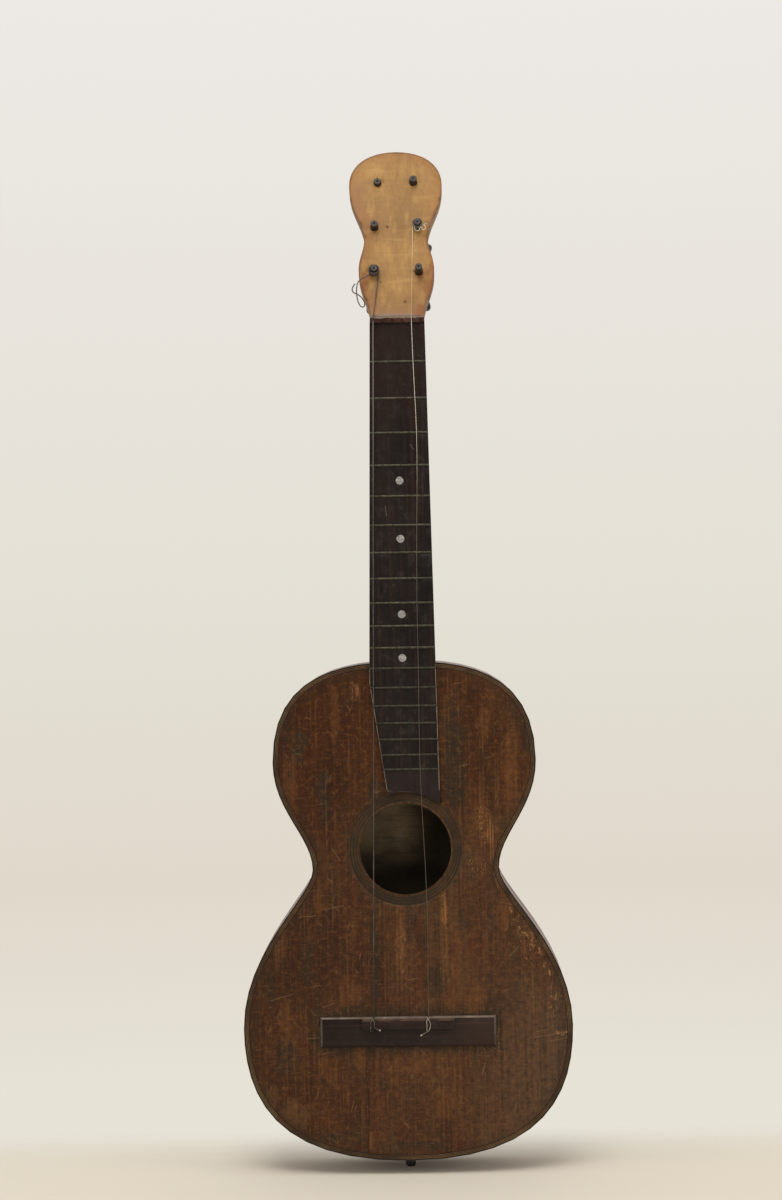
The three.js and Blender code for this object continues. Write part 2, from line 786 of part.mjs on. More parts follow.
function tube(points, diameter, sides) {
  const section = new THREE.Shape(circle(diameter / 2, sides));
  const steps = points.length - 1;
  const options = { steps, extrudePath: new Route(points), bevelEnabled: false, curveSegments: 1 };
  return solidOf(new THREE.ExtrudeGeometry(section, options));
}

// A winding: turns laid along the peg from its string hole towards the head, with a short
// straight lead at each end. Its least gap to itself is measured between points and printed.
function windingOf(seat, side, turns, diameter) {
  const radius = pegRadius(0, pegTip(seat)) + fitGap + diameter / 2;
  const pitch = diameter + turnGap;
  const start = -pegTip(seat) + pegHoleInset;
  const steps = turns * turnSteps;
  const points = [];
  for (let i = 0; i <= steps; i += 1) {
    const turn = (2 * Math.PI * (steps - i)) / turnSteps;
    points.push(new THREE.Vector3(
      pegX(seat) + side * radius * Math.cos(turn),
      start + (pitch * i) / turnSteps,
      pegRise(seat) + radius * Math.sin(turn),
    ));
  }
  const lead = (at, away) => at.clone().add(new THREE.Vector3(0, 0, away * diameter));
  const path = [lead(points[0], 1), ...points, lead(points[steps], -1)];
  let least = Infinity;
  for (let i = 0; i < path.length; i += 1) {
    for (let j = i + turnSteps / 2; j < path.length; j += 1) {
      least = Math.min(least, path[i].distanceTo(path[j]) - diameter);
    }
  }
  return { path, least, radius, end: points[steps] };
}

// The turning winding sweeps a circle, and the still string starts just outside it.
function stringStart(winding, seat, side, diameter) {
  const sweep = Math.hypot(winding.radius + diameter / 2, diameter) + fitGap;
  const drop = Math.sqrt(sweep ** 2 - (winding.radius - diameter / 2) ** 2);
  const local = new THREE.Vector3(
    pegX(seat) + side * winding.radius, winding.end.y, pegRise(seat) - drop,
  );
  return local.applyMatrix4(head.matrix);
}

// From the nut a string runs to the tie block, turns down its front and goes into its hole.
function stringEnd(x) {
  const hold = -tieHoleHeight;
  const turnDown = (stringHeightAtBridge - tieHoleHeight) / stringTurnSteps;
  return [
    new THREE.Vector3(x, -stringHeightAtBridge, tieBlockFront + 2 * bassDiameter + turnDown),
    new THREE.Vector3(x, hold - 2 * turnDown, tieBlockFront + bassDiameter + fitGap),
    new THREE.Vector3(x, hold - turnDown, tieBlockFront + bassDiameter - fitGap / 2),
    new THREE.Vector3(x, hold, tieBlockFront + fitGap),
    new THREE.Vector3(x, hold, tieBlockFront - tieBlockLength + bassDiameter),
  ];
}

// The treble string hangs slack, so it strays sideways: shares of the way and of the stray.
const trebleStrayShares = [
  [0.05, 0.2], [0.1, 0.55], [0.16, 0.9], [0.22, 0.7], [0.3, 0.1], [0.4, -0.5], [0.49, -0.6],
  [0.56, -0.8], [0.63, -0.9], [0.7, -0.6], [0.78, 0.1], [0.84, 0.45], [0.9, 0.4], [0.96, 0.1],
];

function makeStrings() {
  const bassSeat = pegSeats[5];
  const trebleSeat = pegSeats[1];
  const bass = windingOf(bassSeat, 1, bassTurns, bassDiameter);
  const treble = windingOf(trebleSeat, -1, trebleTurns, trebleDiameter);
  console.log(`bass winding: least gap to itself ${bass.least.toFixed(2)} mm`);
  console.log(`treble winding: least gap to itself ${treble.least.toFixed(2)} mm`);
  place('string_6_winding', tube(bass.path, bassDiameter, windingSides), finishes.wound, head);
  place('string_2_winding', tube(treble.path, trebleDiameter, windingSides), finishes.gut, head);

  const overNut = (x) => [
    new THREE.Vector3(x, -stringHeightAtNut, nutThickness),
    new THREE.Vector3(x, -stringHeightAtNut, 0),
  ];
  const bassX = stringX(6, stringSpreadAtNut);
  const bassRoute = [
    stringStart(bass, bassSeat, 1, bassDiameter),
    ...overNut(bassX),
    ...stringEnd(stringX(6, stringSpreadAtBridge)),
  ];
  place('string_6', tube(bassRoute, bassDiameter, stringSides), finishes.wound);

  const trebleX = stringX(2, stringSpreadAtNut);
  const [topEnd, ...rest] = stringEnd(stringX(2, stringSpreadAtBridge));
  const fromNut = overNut(trebleX)[1];
  const strays = trebleStrayShares.map(([way, stray]) => {
    const point = new THREE.Vector3().lerpVectors(fromNut, topEnd, way);
    point.x += stray * trebleStray;
    return point;
  });
  const slack = new THREE.CatmullRomCurve3([fromNut, ...strays, topEnd]).getPoints(slackSteps);
  const trebleRoute = [
    stringStart(treble, trebleSeat, -1, trebleDiameter),
    overNut(trebleX)[0],
    ...slack,
    ...rest,
  ];
  place('string_2', tube(trebleRoute, trebleDiameter, stringSides), finishes.gut);
}

// The loose end of the bass string springs from its peg, loops down beside the head and back.
const tailRoute = [
  [-22.1, 6.2, 41.0], [-24.4, 5.6, 39.4], [-27.2, 5.0, 38.0], [-29.8, 4.6, 36.4],
  [-31.8, 4.5, 34.0], [-32.6, 4.8, 31.0], [-32.9, 5.2, 27.6], [-32.8, 5.6, 24.2],
  [-32.3, 5.6, 20.8], [-31.3, 5.2, 17.4], [-29.4, 4.6, 14.6], [-27.2, 3.8, 14.2],
  [-26.4, 3.0, 16.6], [-27.4, 2.4, 19.6], [-29.6, 2.0, 22.4], [-32.4, 1.8, 24.4],
  [-35.2, 1.6, 25.8], [-36.4, 1.4, 28.0], [-35.6, 1.2, 30.6], [-34.0, 1.2, 33.0],
];

function makeTail() {
  const knots = tailRoute.map(([x, y, z]) => new THREE.Vector3(x, y, z));
  const path = new THREE.CatmullRomCurve3(knots).getPoints(tailSteps);
  place('string_6_tail', tube(path, tailDiameter, stringSides), finishes.wound);
}

function makeBridge() {
  const back = bridgeFront - bridgeLength;
  const half = bridgeWidth / 2;
  const shoulder = bridgeThickness - bridgeChamfer;
  const base = loft([
    rectRing(half, 0, back, bridgeFront),
    rectRing(half, -shoulder, back, bridgeFront),
    rectRing(
      half - bridgeChamfer, -bridgeThickness, back + bridgeChamfer, bridgeFront - bridgeFrontChamfer,
    ),
  ]);
  const blockHalf = tieBlockWidth / 2;
  const blockBack = tieBlockFront - tieBlockLength;
  const blockShoulder = tieBlockHeight - tieBlockChamfer;
  const block = loft([
    rectRing(blockHalf, -shoulder, blockBack, tieBlockFront),
    rectRing(blockHalf, -blockShoulder, blockBack, tieBlockFront),
    rectRing(
      blockHalf - tieBlockChamfer, -tieBlockHeight, blockBack + tieBlockChamfer, tieBlockFront,
    ),
  ]);
  const rebate = box(
    [-farReach, farReach],
    [-tieBlockHeight - cutOverrun, -tieBlockHeight + edgingHeight + fitGap],
    [tieBlockFront - edgingWidth - fitGap, tieBlockFront + cutOverrun],
  );
  const tools = [rebate];
  for (let n = 1; n <= stringCount; n += 1) {
    const holeLength = tieBlockLength + 2 * cutOverrun;
    const hole = new THREE.CylinderGeometry(tieHoleRadius, tieHoleRadius, holeLength, stringSides);
    const x = stringX(n, stringSpreadAtBridge);
    const middle = tieBlockFront - tieBlockLength / 2;
    tools.push(uprightLathe(hole).translate([x, -tieHoleHeight, middle]));
  }
  place('bridge', cutAll(base.add(block), tools), finishes.darkWood);
  const edging = box(
    [-blockHalf + tieBlockChamfer, blockHalf - tieBlockChamfer],
    [-tieBlockHeight, -tieBlockHeight + edgingHeight],
    [tieBlockFront - edgingWidth, tieBlockFront],
  );
  place('tie_block_edging', edging, finishes.bone);
}

function makeEndPin() {
  const taperAt = (depth) => THREE.MathUtils.lerp(pinShaftRadius, pinNeckRadius, depth / pinShaftLength);
  const buttonTop = -pinProjection + pinButtonLength;
  const [bandLow, bandHigh] = pinBandShares.map((share) => -pinProjection + share * pinButtonLength);
  const profile = [
    new THREE.Vector2(0, -pinProjection),
    new THREE.Vector2(pinCrownShare * pinButtonRadius, -pinProjection),
    new THREE.Vector2(pinButtonRadius, bandLow),
    new THREE.Vector2(pinButtonRadius, bandHigh),
    new THREE.Vector2(pinNeckRadius, buttonTop),
    new THREE.Vector2(pinShaftRadius, -fitGap),
    new THREE.Vector2(taperAt(0), 0),
    new THREE.Vector2(taperAt(pinShaftLength), pinShaftLength),
    new THREE.Vector2(0, pinShaftLength),
  ];
  const pin = uprightLathe(new THREE.LatheGeometry(profile, pinSides));
  place('end_pin', pin.translate([0, pinY, bodyTail]), finishes.ebonised);
}

makeShell();
makeInside();
makeNeck();
makeFingerboard();
for (let n = 1; n <= fretCount; n += 1) {
  makeFret(n);
}
makeNut();
makeHead();
pegSeats.forEach(makePeg);
makeStrings();
makeTail();
makeBridge();
makeEndPin();

export default guitar;
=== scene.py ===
# %% [markdown]
# This lesson dresses a small gut-strung guitar of the early eighteen hundreds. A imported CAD
# model gives every piece its size and place. Blender adds what a maker's hand and two hundred
# years add: varnish, dirt, worn edges, inlaid lines, turned pegs and knotted strings.
# The model's box is kept first, because the looks may not change the size.

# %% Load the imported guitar
import json
import math

import bmesh
import bpy
import mathutils
from mathutils import Matrix, Vector

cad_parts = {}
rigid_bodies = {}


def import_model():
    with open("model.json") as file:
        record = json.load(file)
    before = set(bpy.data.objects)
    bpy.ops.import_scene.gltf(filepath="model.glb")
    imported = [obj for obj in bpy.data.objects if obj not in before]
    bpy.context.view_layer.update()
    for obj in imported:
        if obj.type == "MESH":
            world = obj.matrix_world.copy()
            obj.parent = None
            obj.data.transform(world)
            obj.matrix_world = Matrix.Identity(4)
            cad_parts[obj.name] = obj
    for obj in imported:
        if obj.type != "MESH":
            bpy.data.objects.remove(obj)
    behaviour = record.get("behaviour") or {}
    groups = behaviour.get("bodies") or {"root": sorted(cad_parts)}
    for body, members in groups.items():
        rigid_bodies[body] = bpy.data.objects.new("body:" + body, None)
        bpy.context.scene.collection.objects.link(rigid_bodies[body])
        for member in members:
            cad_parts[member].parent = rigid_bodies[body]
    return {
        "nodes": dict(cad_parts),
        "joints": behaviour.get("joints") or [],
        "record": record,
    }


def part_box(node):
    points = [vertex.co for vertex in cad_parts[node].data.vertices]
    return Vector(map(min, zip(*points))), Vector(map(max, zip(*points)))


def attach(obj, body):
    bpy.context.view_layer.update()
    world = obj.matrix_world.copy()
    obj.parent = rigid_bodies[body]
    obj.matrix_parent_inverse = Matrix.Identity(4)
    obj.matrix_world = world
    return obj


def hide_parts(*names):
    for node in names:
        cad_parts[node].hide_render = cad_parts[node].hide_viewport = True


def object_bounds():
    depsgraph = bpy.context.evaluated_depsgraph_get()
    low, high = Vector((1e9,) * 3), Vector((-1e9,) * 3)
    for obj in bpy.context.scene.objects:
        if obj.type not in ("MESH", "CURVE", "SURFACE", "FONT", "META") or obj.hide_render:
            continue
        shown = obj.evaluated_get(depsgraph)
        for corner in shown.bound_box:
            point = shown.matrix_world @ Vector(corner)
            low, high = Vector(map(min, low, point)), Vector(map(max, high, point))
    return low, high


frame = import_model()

cad_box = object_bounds()
mm = 0.001
scene_objects = bpy.context.collection.objects
print("CAD box in mm:", [round(side / mm, 1) for side in cad_box[1] - cad_box[0]])

# %% [markdown]
# The camera looks straight at the upright guitar from the height of its neck joint. A long
# lens from over two metres keeps perspective from swelling the outline. The guitar leans a
# little in the frame, so the camera is rolled, and a sliver of the rib shows at the waist.

# %% Camera
picture_height = 984 * mm
camera_distance = 2300 * mm
aim = Vector((-8.6 * mm, 0, -227 * mm))
camera_turn = math.radians(0.85)
camera_roll = math.radians(-0.92)

lens = bpy.data.cameras.new("camera")
lens.sensor_width = 36
lens.lens = lens.sensor_width * camera_distance / picture_height
camera = bpy.data.objects.new("camera", lens)
scene_objects.link(camera)
bpy.context.scene.camera = camera
back_off = Vector((math.sin(camera_turn), -math.cos(camera_turn), 0)) * camera_distance
upright = (-back_off).to_track_quat("-Z", "Y").to_matrix().to_4x4()
camera.matrix_world = (
    Matrix.Translation(aim + back_off) @ upright @ Matrix.Rotation(camera_roll, 4, "Z")
)
print("camera lens", round(lens.lens, 1), "mm")

# %% [markdown]
# Pieces ride on the CAD bodies by name: all but the pegs belong to the instrument. Small
# helpers make a piece, link it, and say which CAD nodes it stands for.

# %% Helpers that make and seat a piece
bodies = frame["record"]["behaviour"]["bodies"]
body_of = {node: body for body, nodes in bodies.items() for node in nodes}
sharp_from = 38  # degrees at an edge, above which two faces aren't smoothed into each other


def seat(piece, body, slot, *stands_for):
    scene_objects.link(piece)
    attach(piece, body)
    if stands_for:
        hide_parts(*stands_for)
    return piece


def mesh_piece(shape, name, *materials, smooth_to=sharp_from):
    """An object made of a shape that was under construction."""
    mesh = bpy.data.meshes.new(name)
    shape.to_mesh(mesh)
    shape.free()
    for material in materials:
        mesh.materials.append(material)
    if smooth_to:
        mesh.shade_smooth()
        mesh.set_sharp_from_angle(angle=math.radians(smooth_to))
    return bpy.data.objects.new(name, mesh)


def strand(name, points, diameter, material, smooth=True):
    """A round string along points, as one open curve."""
    curve = bpy.data.curves.new(name, "CURVE")
    curve.dimensions = "3D"
    curve.bevel_depth = diameter / 2
    curve.bevel_resolution = 3
    curve.use_fill_caps = True
    spline = curve.splines.new("BEZIER" if smooth else "POLY")
    knots = spline.bezier_points if smooth else spline.points
    knots.add(len(points) - 1)
    for knot, point in zip(knots, points):
        knot.co = point if smooth else (*point, 1)
        if smooth:
            knot.handle_left_type = knot.handle_right_type = "AUTO"
    curve.resolution_u = 8
    curve.materials.append(material)
    return bpy.data.objects.new(name, curve)


print("bodies:", ", ".join(bodies))

# %% [markdown]
# Every finish is a net of nodes, and a small class keeps the building of one short. Colours
# are given as they are seen on screen.

# %% A net of nodes


def tone(red, green, blue):
    """A colour as seen on screen, 0 to 255, as the linear value that a shader takes."""
    def linear(value):
        share = value / 255
        return share / 12.92 if share <= 0.04045 else ((share + 0.055) / 1.055) ** 2.4
    return (linear(red), linear(green), linear(blue), 1)


class Net:
    def __init__(self, tree):
        self.tree = tree

    def node(self, kind, inputs=(), **settings):
        """A new node. What comes from another node is linked, and the rest is set."""
        made = self.tree.nodes.new("ShaderNode" + kind)
        for name, value in settings.items():
            setattr(made, name, value)
        for socket, value in dict(inputs).items():
            if isinstance(value, bpy.types.NodeSocket):
                self.tree.links.new(value, made.inputs[socket])
            else:
                made.inputs[socket].default_value = value
        return made

    def maths(self, operation, *values):
        """One number out of two or more, taken from left to right."""
        total = values[0]
        for value in values[1:] or (0.0,):
            total = self.node("Math", {0: total, 1: value}, operation=operation).outputs[0]
        return total

    def plus(self, *values):
        return self.maths("ADD", *values)

    def times(self, *values):
        return self.maths("MULTIPLY", *values)

    def vector(self, operation, a, b=(0, 0, 0)):
        made = self.node("VectorMath", {0: a, 1: b}, operation=operation)
        return made.outputs["Value" if operation in ("LENGTH", "DOT_PRODUCT") else 0]

    def step(self, value, low, high):
        """0 below low, 1 above high, and smooth between; it falls where low is the larger."""
        return self.node("MapRange", {
            "Value": value, "From Min": low, "From Max": high,
        }, interpolation_type="SMOOTHSTEP").outputs[0]

    def blend(self, value, low, high, least=0.0, most=1.0):
        """least below low, most above high, and a straight change between."""
        return self.node("MapRange", {
            "Value": value, "From Min": low, "From Max": high, "To Min": least, "To Max": most,
        }).outputs[0]

    def layer(self, below, above, share, how="MIX"):
        made = self.node("Mix", {0: share, 6: below, 7: above}, data_type="RGBA", blend_type=how)
        return made.outputs[2]

    def ramp(self, value, stops):
        """A colour for every value: stops are (value, (red, green, blue))."""
        made = self.node("ValToRGB", {0: value})
        keys = made.color_ramp.elements
        (keys[0].position, first), (keys[1].position, last) = stops[0], stops[-1]
        keys[0].color, keys[1].color = tone(*first), tone(*last)
        for position, colour in stops[1:-1]:
            keys.new(position).color = tone(*colour)
        return made.outputs[0]


print("128 on screen is", round(tone(128, 128, 128)[0], 3), "of the light")

# %% [markdown]
# Old varnish is never even. Hands, dust and knocks mark certain places, so two reusable node
# groups draw such marks: a spot with ragged edges, and a straight stroke such as a scratch.
# Each takes a place on the guitar in metres, and gives a mask from 0 to 1.

# %% Node groups for a worn spot and for a stroke
front_only = (1, 0, 1)  # takes the depth out of a place, as the front shows it


def mask_group(name, inputs):
    group = bpy.data.node_groups.new(name, "ShaderNodeTree")
    for socket, kind in inputs.items():
        group.interface.new_socket(socket, in_out="INPUT", socket_type="NodeSocket" + kind)
    group.interface.new_socket("Mask", in_out="OUTPUT", socket_type="NodeSocketFloat")
    given = group.nodes.new("NodeGroupInput").outputs
    result = group.nodes.new("NodeGroupOutput").inputs["Mask"]
    return Net(group), given, result


worn_spot, given, mask = mask_group("worn_spot", {
    "Place": "Vector", "Centre": "Vector", "Half Size": "Vector", "Ragged": "Float",
})
soft_edge = 0.6
offset = worn_spot.vector("SUBTRACT", given["Place"], given["Centre"])
reach = worn_spot.vector("LENGTH", worn_spot.vector("DIVIDE", offset, given["Half Size"]))
edge = worn_spot.maths("SUBTRACT", worn_spot.plus(1.0, given["Ragged"]), reach)
worn_spot.tree.links.new(worn_spot.step(edge, 0, soft_edge), mask)

stroke, given, mask = mask_group("stroke", {
    "Place": "Vector", "Start": "Vector", "End": "Vector", "Width": "Float",
})
along = stroke.vector("SUBTRACT", given["End"], given["Start"])
flat = stroke.vector("MULTIPLY", given["Place"], front_only)
away = stroke.vector("SUBTRACT", flat, given["Start"])
done, whole = (stroke.vector("DOT_PRODUCT", part, along) for part in (away, along))
share = stroke.maths("DIVIDE", done, whole)
held = stroke.maths("MINIMUM", stroke.maths("MAXIMUM", share, 0.0), 1.0)
nearest = stroke.node("VectorMath", {0: along, "Scale": held}, operation="SCALE").outputs[0]
gap = stroke.vector("LENGTH", stroke.vector("SUBTRACT", away, nearest))
thin = stroke.maths("SUBTRACT", 1.0, stroke.maths("DIVIDE", gap, given["Width"]))
stroke.tree.links.new(stroke.maths("MAXIMUM", thin, 0.0), mask)
print("node groups:", worn_spot.tree.name, "and", stroke.tree.name)

# %% [markdown]
# A finish is a material whose colour is laid on coat by coat, as the real one came to be.
# Patterns are laid out in metres over the whole guitar, so grain and dirt run on from piece
# to piece.

# %% A finish under construction


class Finish(Net):
    def __init__(self, name, roughness=0.5, specular=0.25, metallic=0.0):
        self.material = bpy.data.materials.new(name)
        self.material.use_nodes = True
        super().__init__(self.material.node_tree)
        self.shader = self.tree.nodes["Principled BSDF"]
        self.shader.inputs["Roughness"].default_value = roughness
        self.shader.inputs["Specular IOR Level"].default_value = specular
        self.shader.inputs["Metallic"].default_value = metallic
        self.place = self.node("TexCoord").outputs["Object"]

    # Patterns and masks

    def noise(self, per_metre, detail=4, roughness=0.6, distortion=0.0):
        """Cloudy variation: per_metre is how often it changes along X, Y and Z."""
        scaled = self.node("Mapping", {"Vector": self.place, "Scale": per_metre})
        return self.node("TexNoise", {
            "Vector": scaled.outputs[0], "Scale": 1.0, "Detail": detail,
            "Roughness": roughness, "Distortion": distortion,
        }).outputs["Fac"]

    def hairs(self, turn, across, along, thin):
        """Fine straight marks that lie at an angle to the grain, as a mask."""
        turned = self.node("Mapping", {
            "Vector": self.place, "Rotation": (0, turn, 0), "Scale": (1 / across, 1, 1 / along),
        }, vector_type="TEXTURE")
        marks = self.node("TexNoise", {"Vector": turned.outputs[0], "Scale": 1.0, "Detail": 1.0})
        return self.step(marks.outputs["Fac"], thin, thin + 0.06)

    def axis(self, letter):
        return self.node("SeparateXYZ", {0: self.place}).outputs[letter]

    def along(self, letter, low, high):
        """A smooth step along one axis, between two places in millimetres."""
        return self.step(self.axis(letter), low * mm, high * mm)

    def rim(self):
        """The distance from the plate's outline, which the mesh knows."""
        return self.node("Attribute", attribute_name="rim").outputs["Fac"]

    def flat_length(self, vector):
        """The length of a vector as the front shows it."""
        return self.vector("LENGTH", self.vector("MULTIPLY", vector, front_only))

    def away_from(self, point):
        return self.flat_length(self.vector("SUBTRACT", self.place, tuple(point)))

    def halo(self, low, high, reach):
        """One mask round a box: 1 at its edge, and nothing at reach from it."""
        middle, half = (low + high) / 2, (high - low) / 2
        away = self.vector("ABSOLUTE", self.vector("SUBTRACT", self.place, tuple(middle)))
        outside = self.vector("MAXIMUM", self.vector("SUBTRACT", away, tuple(half)))
        uneven = self.plus(self.flat_length(outside), self.times(self.ragged, reach * 0.4))
        return self.step(uneven, reach, 0.0)

    def marks(self, group, kinds):
        """One mask for several marks that a node group draws."""
        return self.maths("MAXIMUM", *[
            self.node("Group", {"Place": self.place, **kind}, node_tree=group.tree).outputs[0]
            for kind in kinds
        ])

    def spots(self, *places):
        """Ragged spots, each (x, z, half width, half height) in millimetres."""
        return self.marks(worn_spot, [{
            "Ragged": self.ragged, "Centre": (x * mm, 0, z * mm),
            "Half Size": (half_width * mm, 1, half_height * mm),
        } for x, z, half_width, half_height in places])

    def strokes(self, width, *places):
        """Straight strokes, each (x, z, x, z) from end to end; all sizes in millimetres."""
        return self.marks(stroke, [{
            "Start": (x0 * mm, 0, z0 * mm), "End": (x1 * mm, 0, z1 * mm), "Width": width * mm,
        } for x0, z0, x1, z1 in places])

    # Coats of colour

    def ground(self, pattern, *stops):
        """The first coat: a colour for every value of a pattern."""
        self.colour = self.ramp(pattern, stops)

    def coat(self, colour, mask, share=None):
        """Colour where the mask is, as dense as share says."""
        if share is not None:
            mask = self.times(mask, share)
        self.colour = self.layer(self.colour, tone(*colour), mask)

    def wash(self, colour, pattern, low, high, share):
        """Colour that comes in as a pattern goes from low to high, and is share at its densest."""
        self.coat(colour, self.blend(pattern, low, high, 0, share))

    def tint(self, factors, mask):
        """Takes light away where the mask is: red, green and blue are multiplied by factors."""
        self.colour = self.layer(self.colour, (*factors, 1), mask, "MULTIPLY")

    def done(self, roughness=None, height=None, depth=0.1):
        """Joins colour, roughness and relief to the shader; depth is in millimetres."""
        self.tree.links.new(self.colour, self.shader.inputs["Base Color"])
        if roughness is not None:
            self.tree.links.new(roughness, self.shader.inputs["Roughness"])
        if height is not None:
            bump = self.node("Bump", {"Height": height, "Strength": 1.0, "Distance": depth * mm})
            self.tree.links.new(bump.outputs[0], self.shader.inputs["Normal"])
        return self.material


# %% [markdown]
# The bass string is silk wound with fine wire, now tarnished. A wave pattern draws the turns
# of the wire, and cloudy noise lays the tarnish over them.

# %% Wound wire
wire = Finish("wound_wire", roughness=0.4, specular=0.4, metallic=0.35)
wire_pitch = 0.45 * mm
wave_scale = 2 * math.pi / (20 * wire_pitch)
winding_line = wire.node(
    "TexWave", {"Vector": wire.place, "Scale": wave_scale}, bands_direction="Z",
).outputs["Fac"]
tarnish = wire.noise((300, 300, 120))
wire.ground(tarnish, (0.35, (56, 48, 43)), (0.65, (92, 82, 72)))
wire.wash((48, 42, 38), winding_line, 0.5, 1, 0.5)
wire.coat((48, 37, 28), wire.along("Z", -500, -525), 0.85)
bright_part = wire.times(wire.along("Z", -190, -10), wire.along("Z", 3, 0))
wire.coat((126, 118, 108), bright_part, 0.7)
wound_wire = wire.done(None, winding_line, 0.05)
print("wound wire has", len(wire.tree.nodes), "nodes")

# %% [markdown]
# The loose end of the bass string is the one free cord: short and stiff, so it holds its
# shape in the air. It loops down beside the head and up again, point for point as in the CAD.

# %% Loose end of the bass string
tail_diameter = 0.95 * mm
tail_points = [Vector(point) * mm for point in (
    (-22.1, 6.2, 41.0), (-24.4, 5.6, 39.4), (-27.2, 5.0, 38.0), (-29.8, 4.6, 36.4),
    (-31.8, 4.5, 34.0), (-32.6, 4.8, 31.0), (-32.9, 5.2, 27.6), (-32.8, 5.6, 24.2),
    (-32.3, 5.6, 20.8), (-31.3, 5.2, 17.4), (-29.4, 4.6, 14.6), (-27.2, 3.8, 14.2),
    (-26.4, 3.0, 16.6), (-27.4, 2.4, 19.6), (-29.6, 2.0, 22.4), (-32.4, 1.8, 24.4),
    (-35.2, 1.6, 25.8), (-36.4, 1.4, 28.0), (-35.6, 1.2, 30.6), (-34.0, 1.2, 33.0),
)]
bass_tail = strand("bass_string_tail", tail_points, tail_diameter, wound_wire)
seat(bass_tail, "instrument", "wound_string", "string_6_tail")

# %% [markdown]
# The soundboard is softwood under a varnish that time has turned from orange to brown. Its
# coats are the clouded varnish itself, dirt where hands and strings kept cloths away, orange
# wood where the varnish has gone, the fine upright grain, and last chips and scratches.

# %% Varnish of the soundboard
ring_low, ring_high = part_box("soundhole_ring")
hole_centre = (ring_low + ring_high) / 2
bridge_low, bridge_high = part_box("bridge")

top = Finish("top_varnish", roughness=0.5, specular=0.12)
clouds = top.noise((20, 1, 9), detail=5, roughness=0.65, distortion=0.5)
top.ground(
    clouds,
    (0.30, (53, 33, 19)), (0.45, (70, 43, 24)), (0.58, (84, 53, 29)), (0.72, (100, 64, 34)),
)
hue = top.noise((60, 1, 26))
top.wash((74, 37, 22), hue, 0.52, 0.68, 0.6)
top.wash((64, 54, 33), hue, 0.48, 0.32, 0.6)
top.coat((76, 37, 20), top.along("X", 90, -110), 0.22)
top.tint((0.66, 0.61, 0.56), top.along("X", 10, -80))
# A greyish coat low on the treble side is a painted sheen, where the varnish would mirror the lamp
# on the right.
painted_sheen_low_treble = top.times(top.along("X", 30, 120), top.along("Z", -500, -590))
top.coat((80, 62, 47), painted_sheen_low_treble, 0.6)
top.tint((0.81, 0.64, 0.40), top.along("Z", -470, -350))
top.ragged = top.blend(top.noise((90, 1, 60), detail=5, roughness=0.7), 0.3, 0.7, -0.6, 0.6)
print("varnish of the soundboard has", len(top.tree.nodes), "nodes so far")

# %% Dirt, rubbed places and grain of the soundboard
dirt = top.spots(
    (41, -352, 13, 64), (-25, -386, 8, 20), (-30, -404, 7, 14), (92, -312, 8, 20),
    (101, -341, 6, 28), (-66, -385, 6, 28), (-112, -544, 5, 18), (-26, -524, 4, 50),
    (3, -493, 6, 22), (-64, -668, 14, 6), (10, -674, 22, 5), (-22, -625, 6, 8),
    (-86, -345, 7, 22), (-100, -600, 10, 20), (26, -540, 12, 18), (-82, -520, 6, 26),
)
top.coat((46, 38, 26), dirt, 0.7)
shade = top.spots(
    (50, -303, 14, 16), (86, -338, 15, 30), (46, -398, 12, 26), (64, -566, 30, 24),
    (84, -640, 16, 16), (46, -492, 8, 12), (14, -498, 12, 24), (-100, -386, 8, 14),
)
top.tint((0.72, 0.8, 0.88), top.times(shade, 0.8))
top.coat((98, 70, 40), top.spots((-92, -648, 18, 14), (-112, -634, 8, 12)), 0.4)
top.coat((46, 39, 29), top.halo(bridge_low, bridge_high, 12 * mm), 0.75)
ring_reach = top.plus(top.away_from(hole_centre), top.times(top.ragged, 6 * mm))
top.coat((56, 43, 29), top.step(ring_reach, 54 * mm, 44 * mm), 0.5)
rubbed = top.spots(
    (-56, -321, 5, 32), (-94, -384, 9, 34), (62, -399, 8, 30), (88, -360, 8, 40),
    (-41, -302, 4, 14), (-48, -546, 12, 18), (56, -556, 9, 18), (-5, -508, 5, 24),
    (31, -486, 4, 20), (-66, -612, 10, 20), (-40, -600, 6, 18), (30, -640, 12, 18),
    (-104, -500, 7, 30), (66, -330, 6, 22), (-100, -570, 7, 22), (-72, -470, 6, 20),
    (80, -480, 8, 30),
)
top.coat((106, 65, 31), rubbed, 0.38)
uprights = top.noise((60, 1, 24), detail=6, roughness=0.75, distortion=0.3)
top.wash((96, 60, 30), uprights, 0.54, 0.74, 0.45)
top.wash((48, 36, 23), uprights, 0.46, 0.28, 0.55)
weave = top.noise((110, 1, 560), detail=3, distortion=0.4)
top.wash((40, 30, 21), weave, 0.52, 0.70, 0.32)
top.wash((102, 70, 41), weave, 0.47, 0.32, 0.24)
grain = top.noise((520, 1, 9), detail=2, roughness=0.55, distortion=0.2)
grain_shows = top.noise((60, 1, 60), roughness=0.7)
grain_shows = top.blend(grain_shows, 0.40, 0.64, 0.15, 1.0)
top.coat((36, 23, 15), top.times(top.blend(grain, 0.50, 0.66, 0, 0.6), grain_shows))
top.coat((108, 72, 40), top.times(top.blend(grain, 0.46, 0.34, 0, 0.42), grain_shows))
mottle = top.noise((230, 1, 210), detail=5, roughness=0.8)
top.wash((34, 26, 20), mottle, 0.51, 0.68, 0.75)
top.wash((112, 76, 44), mottle, 0.47, 0.32, 0.5)
print("varnish of the soundboard has", len(top.tree.nodes), "nodes so far")

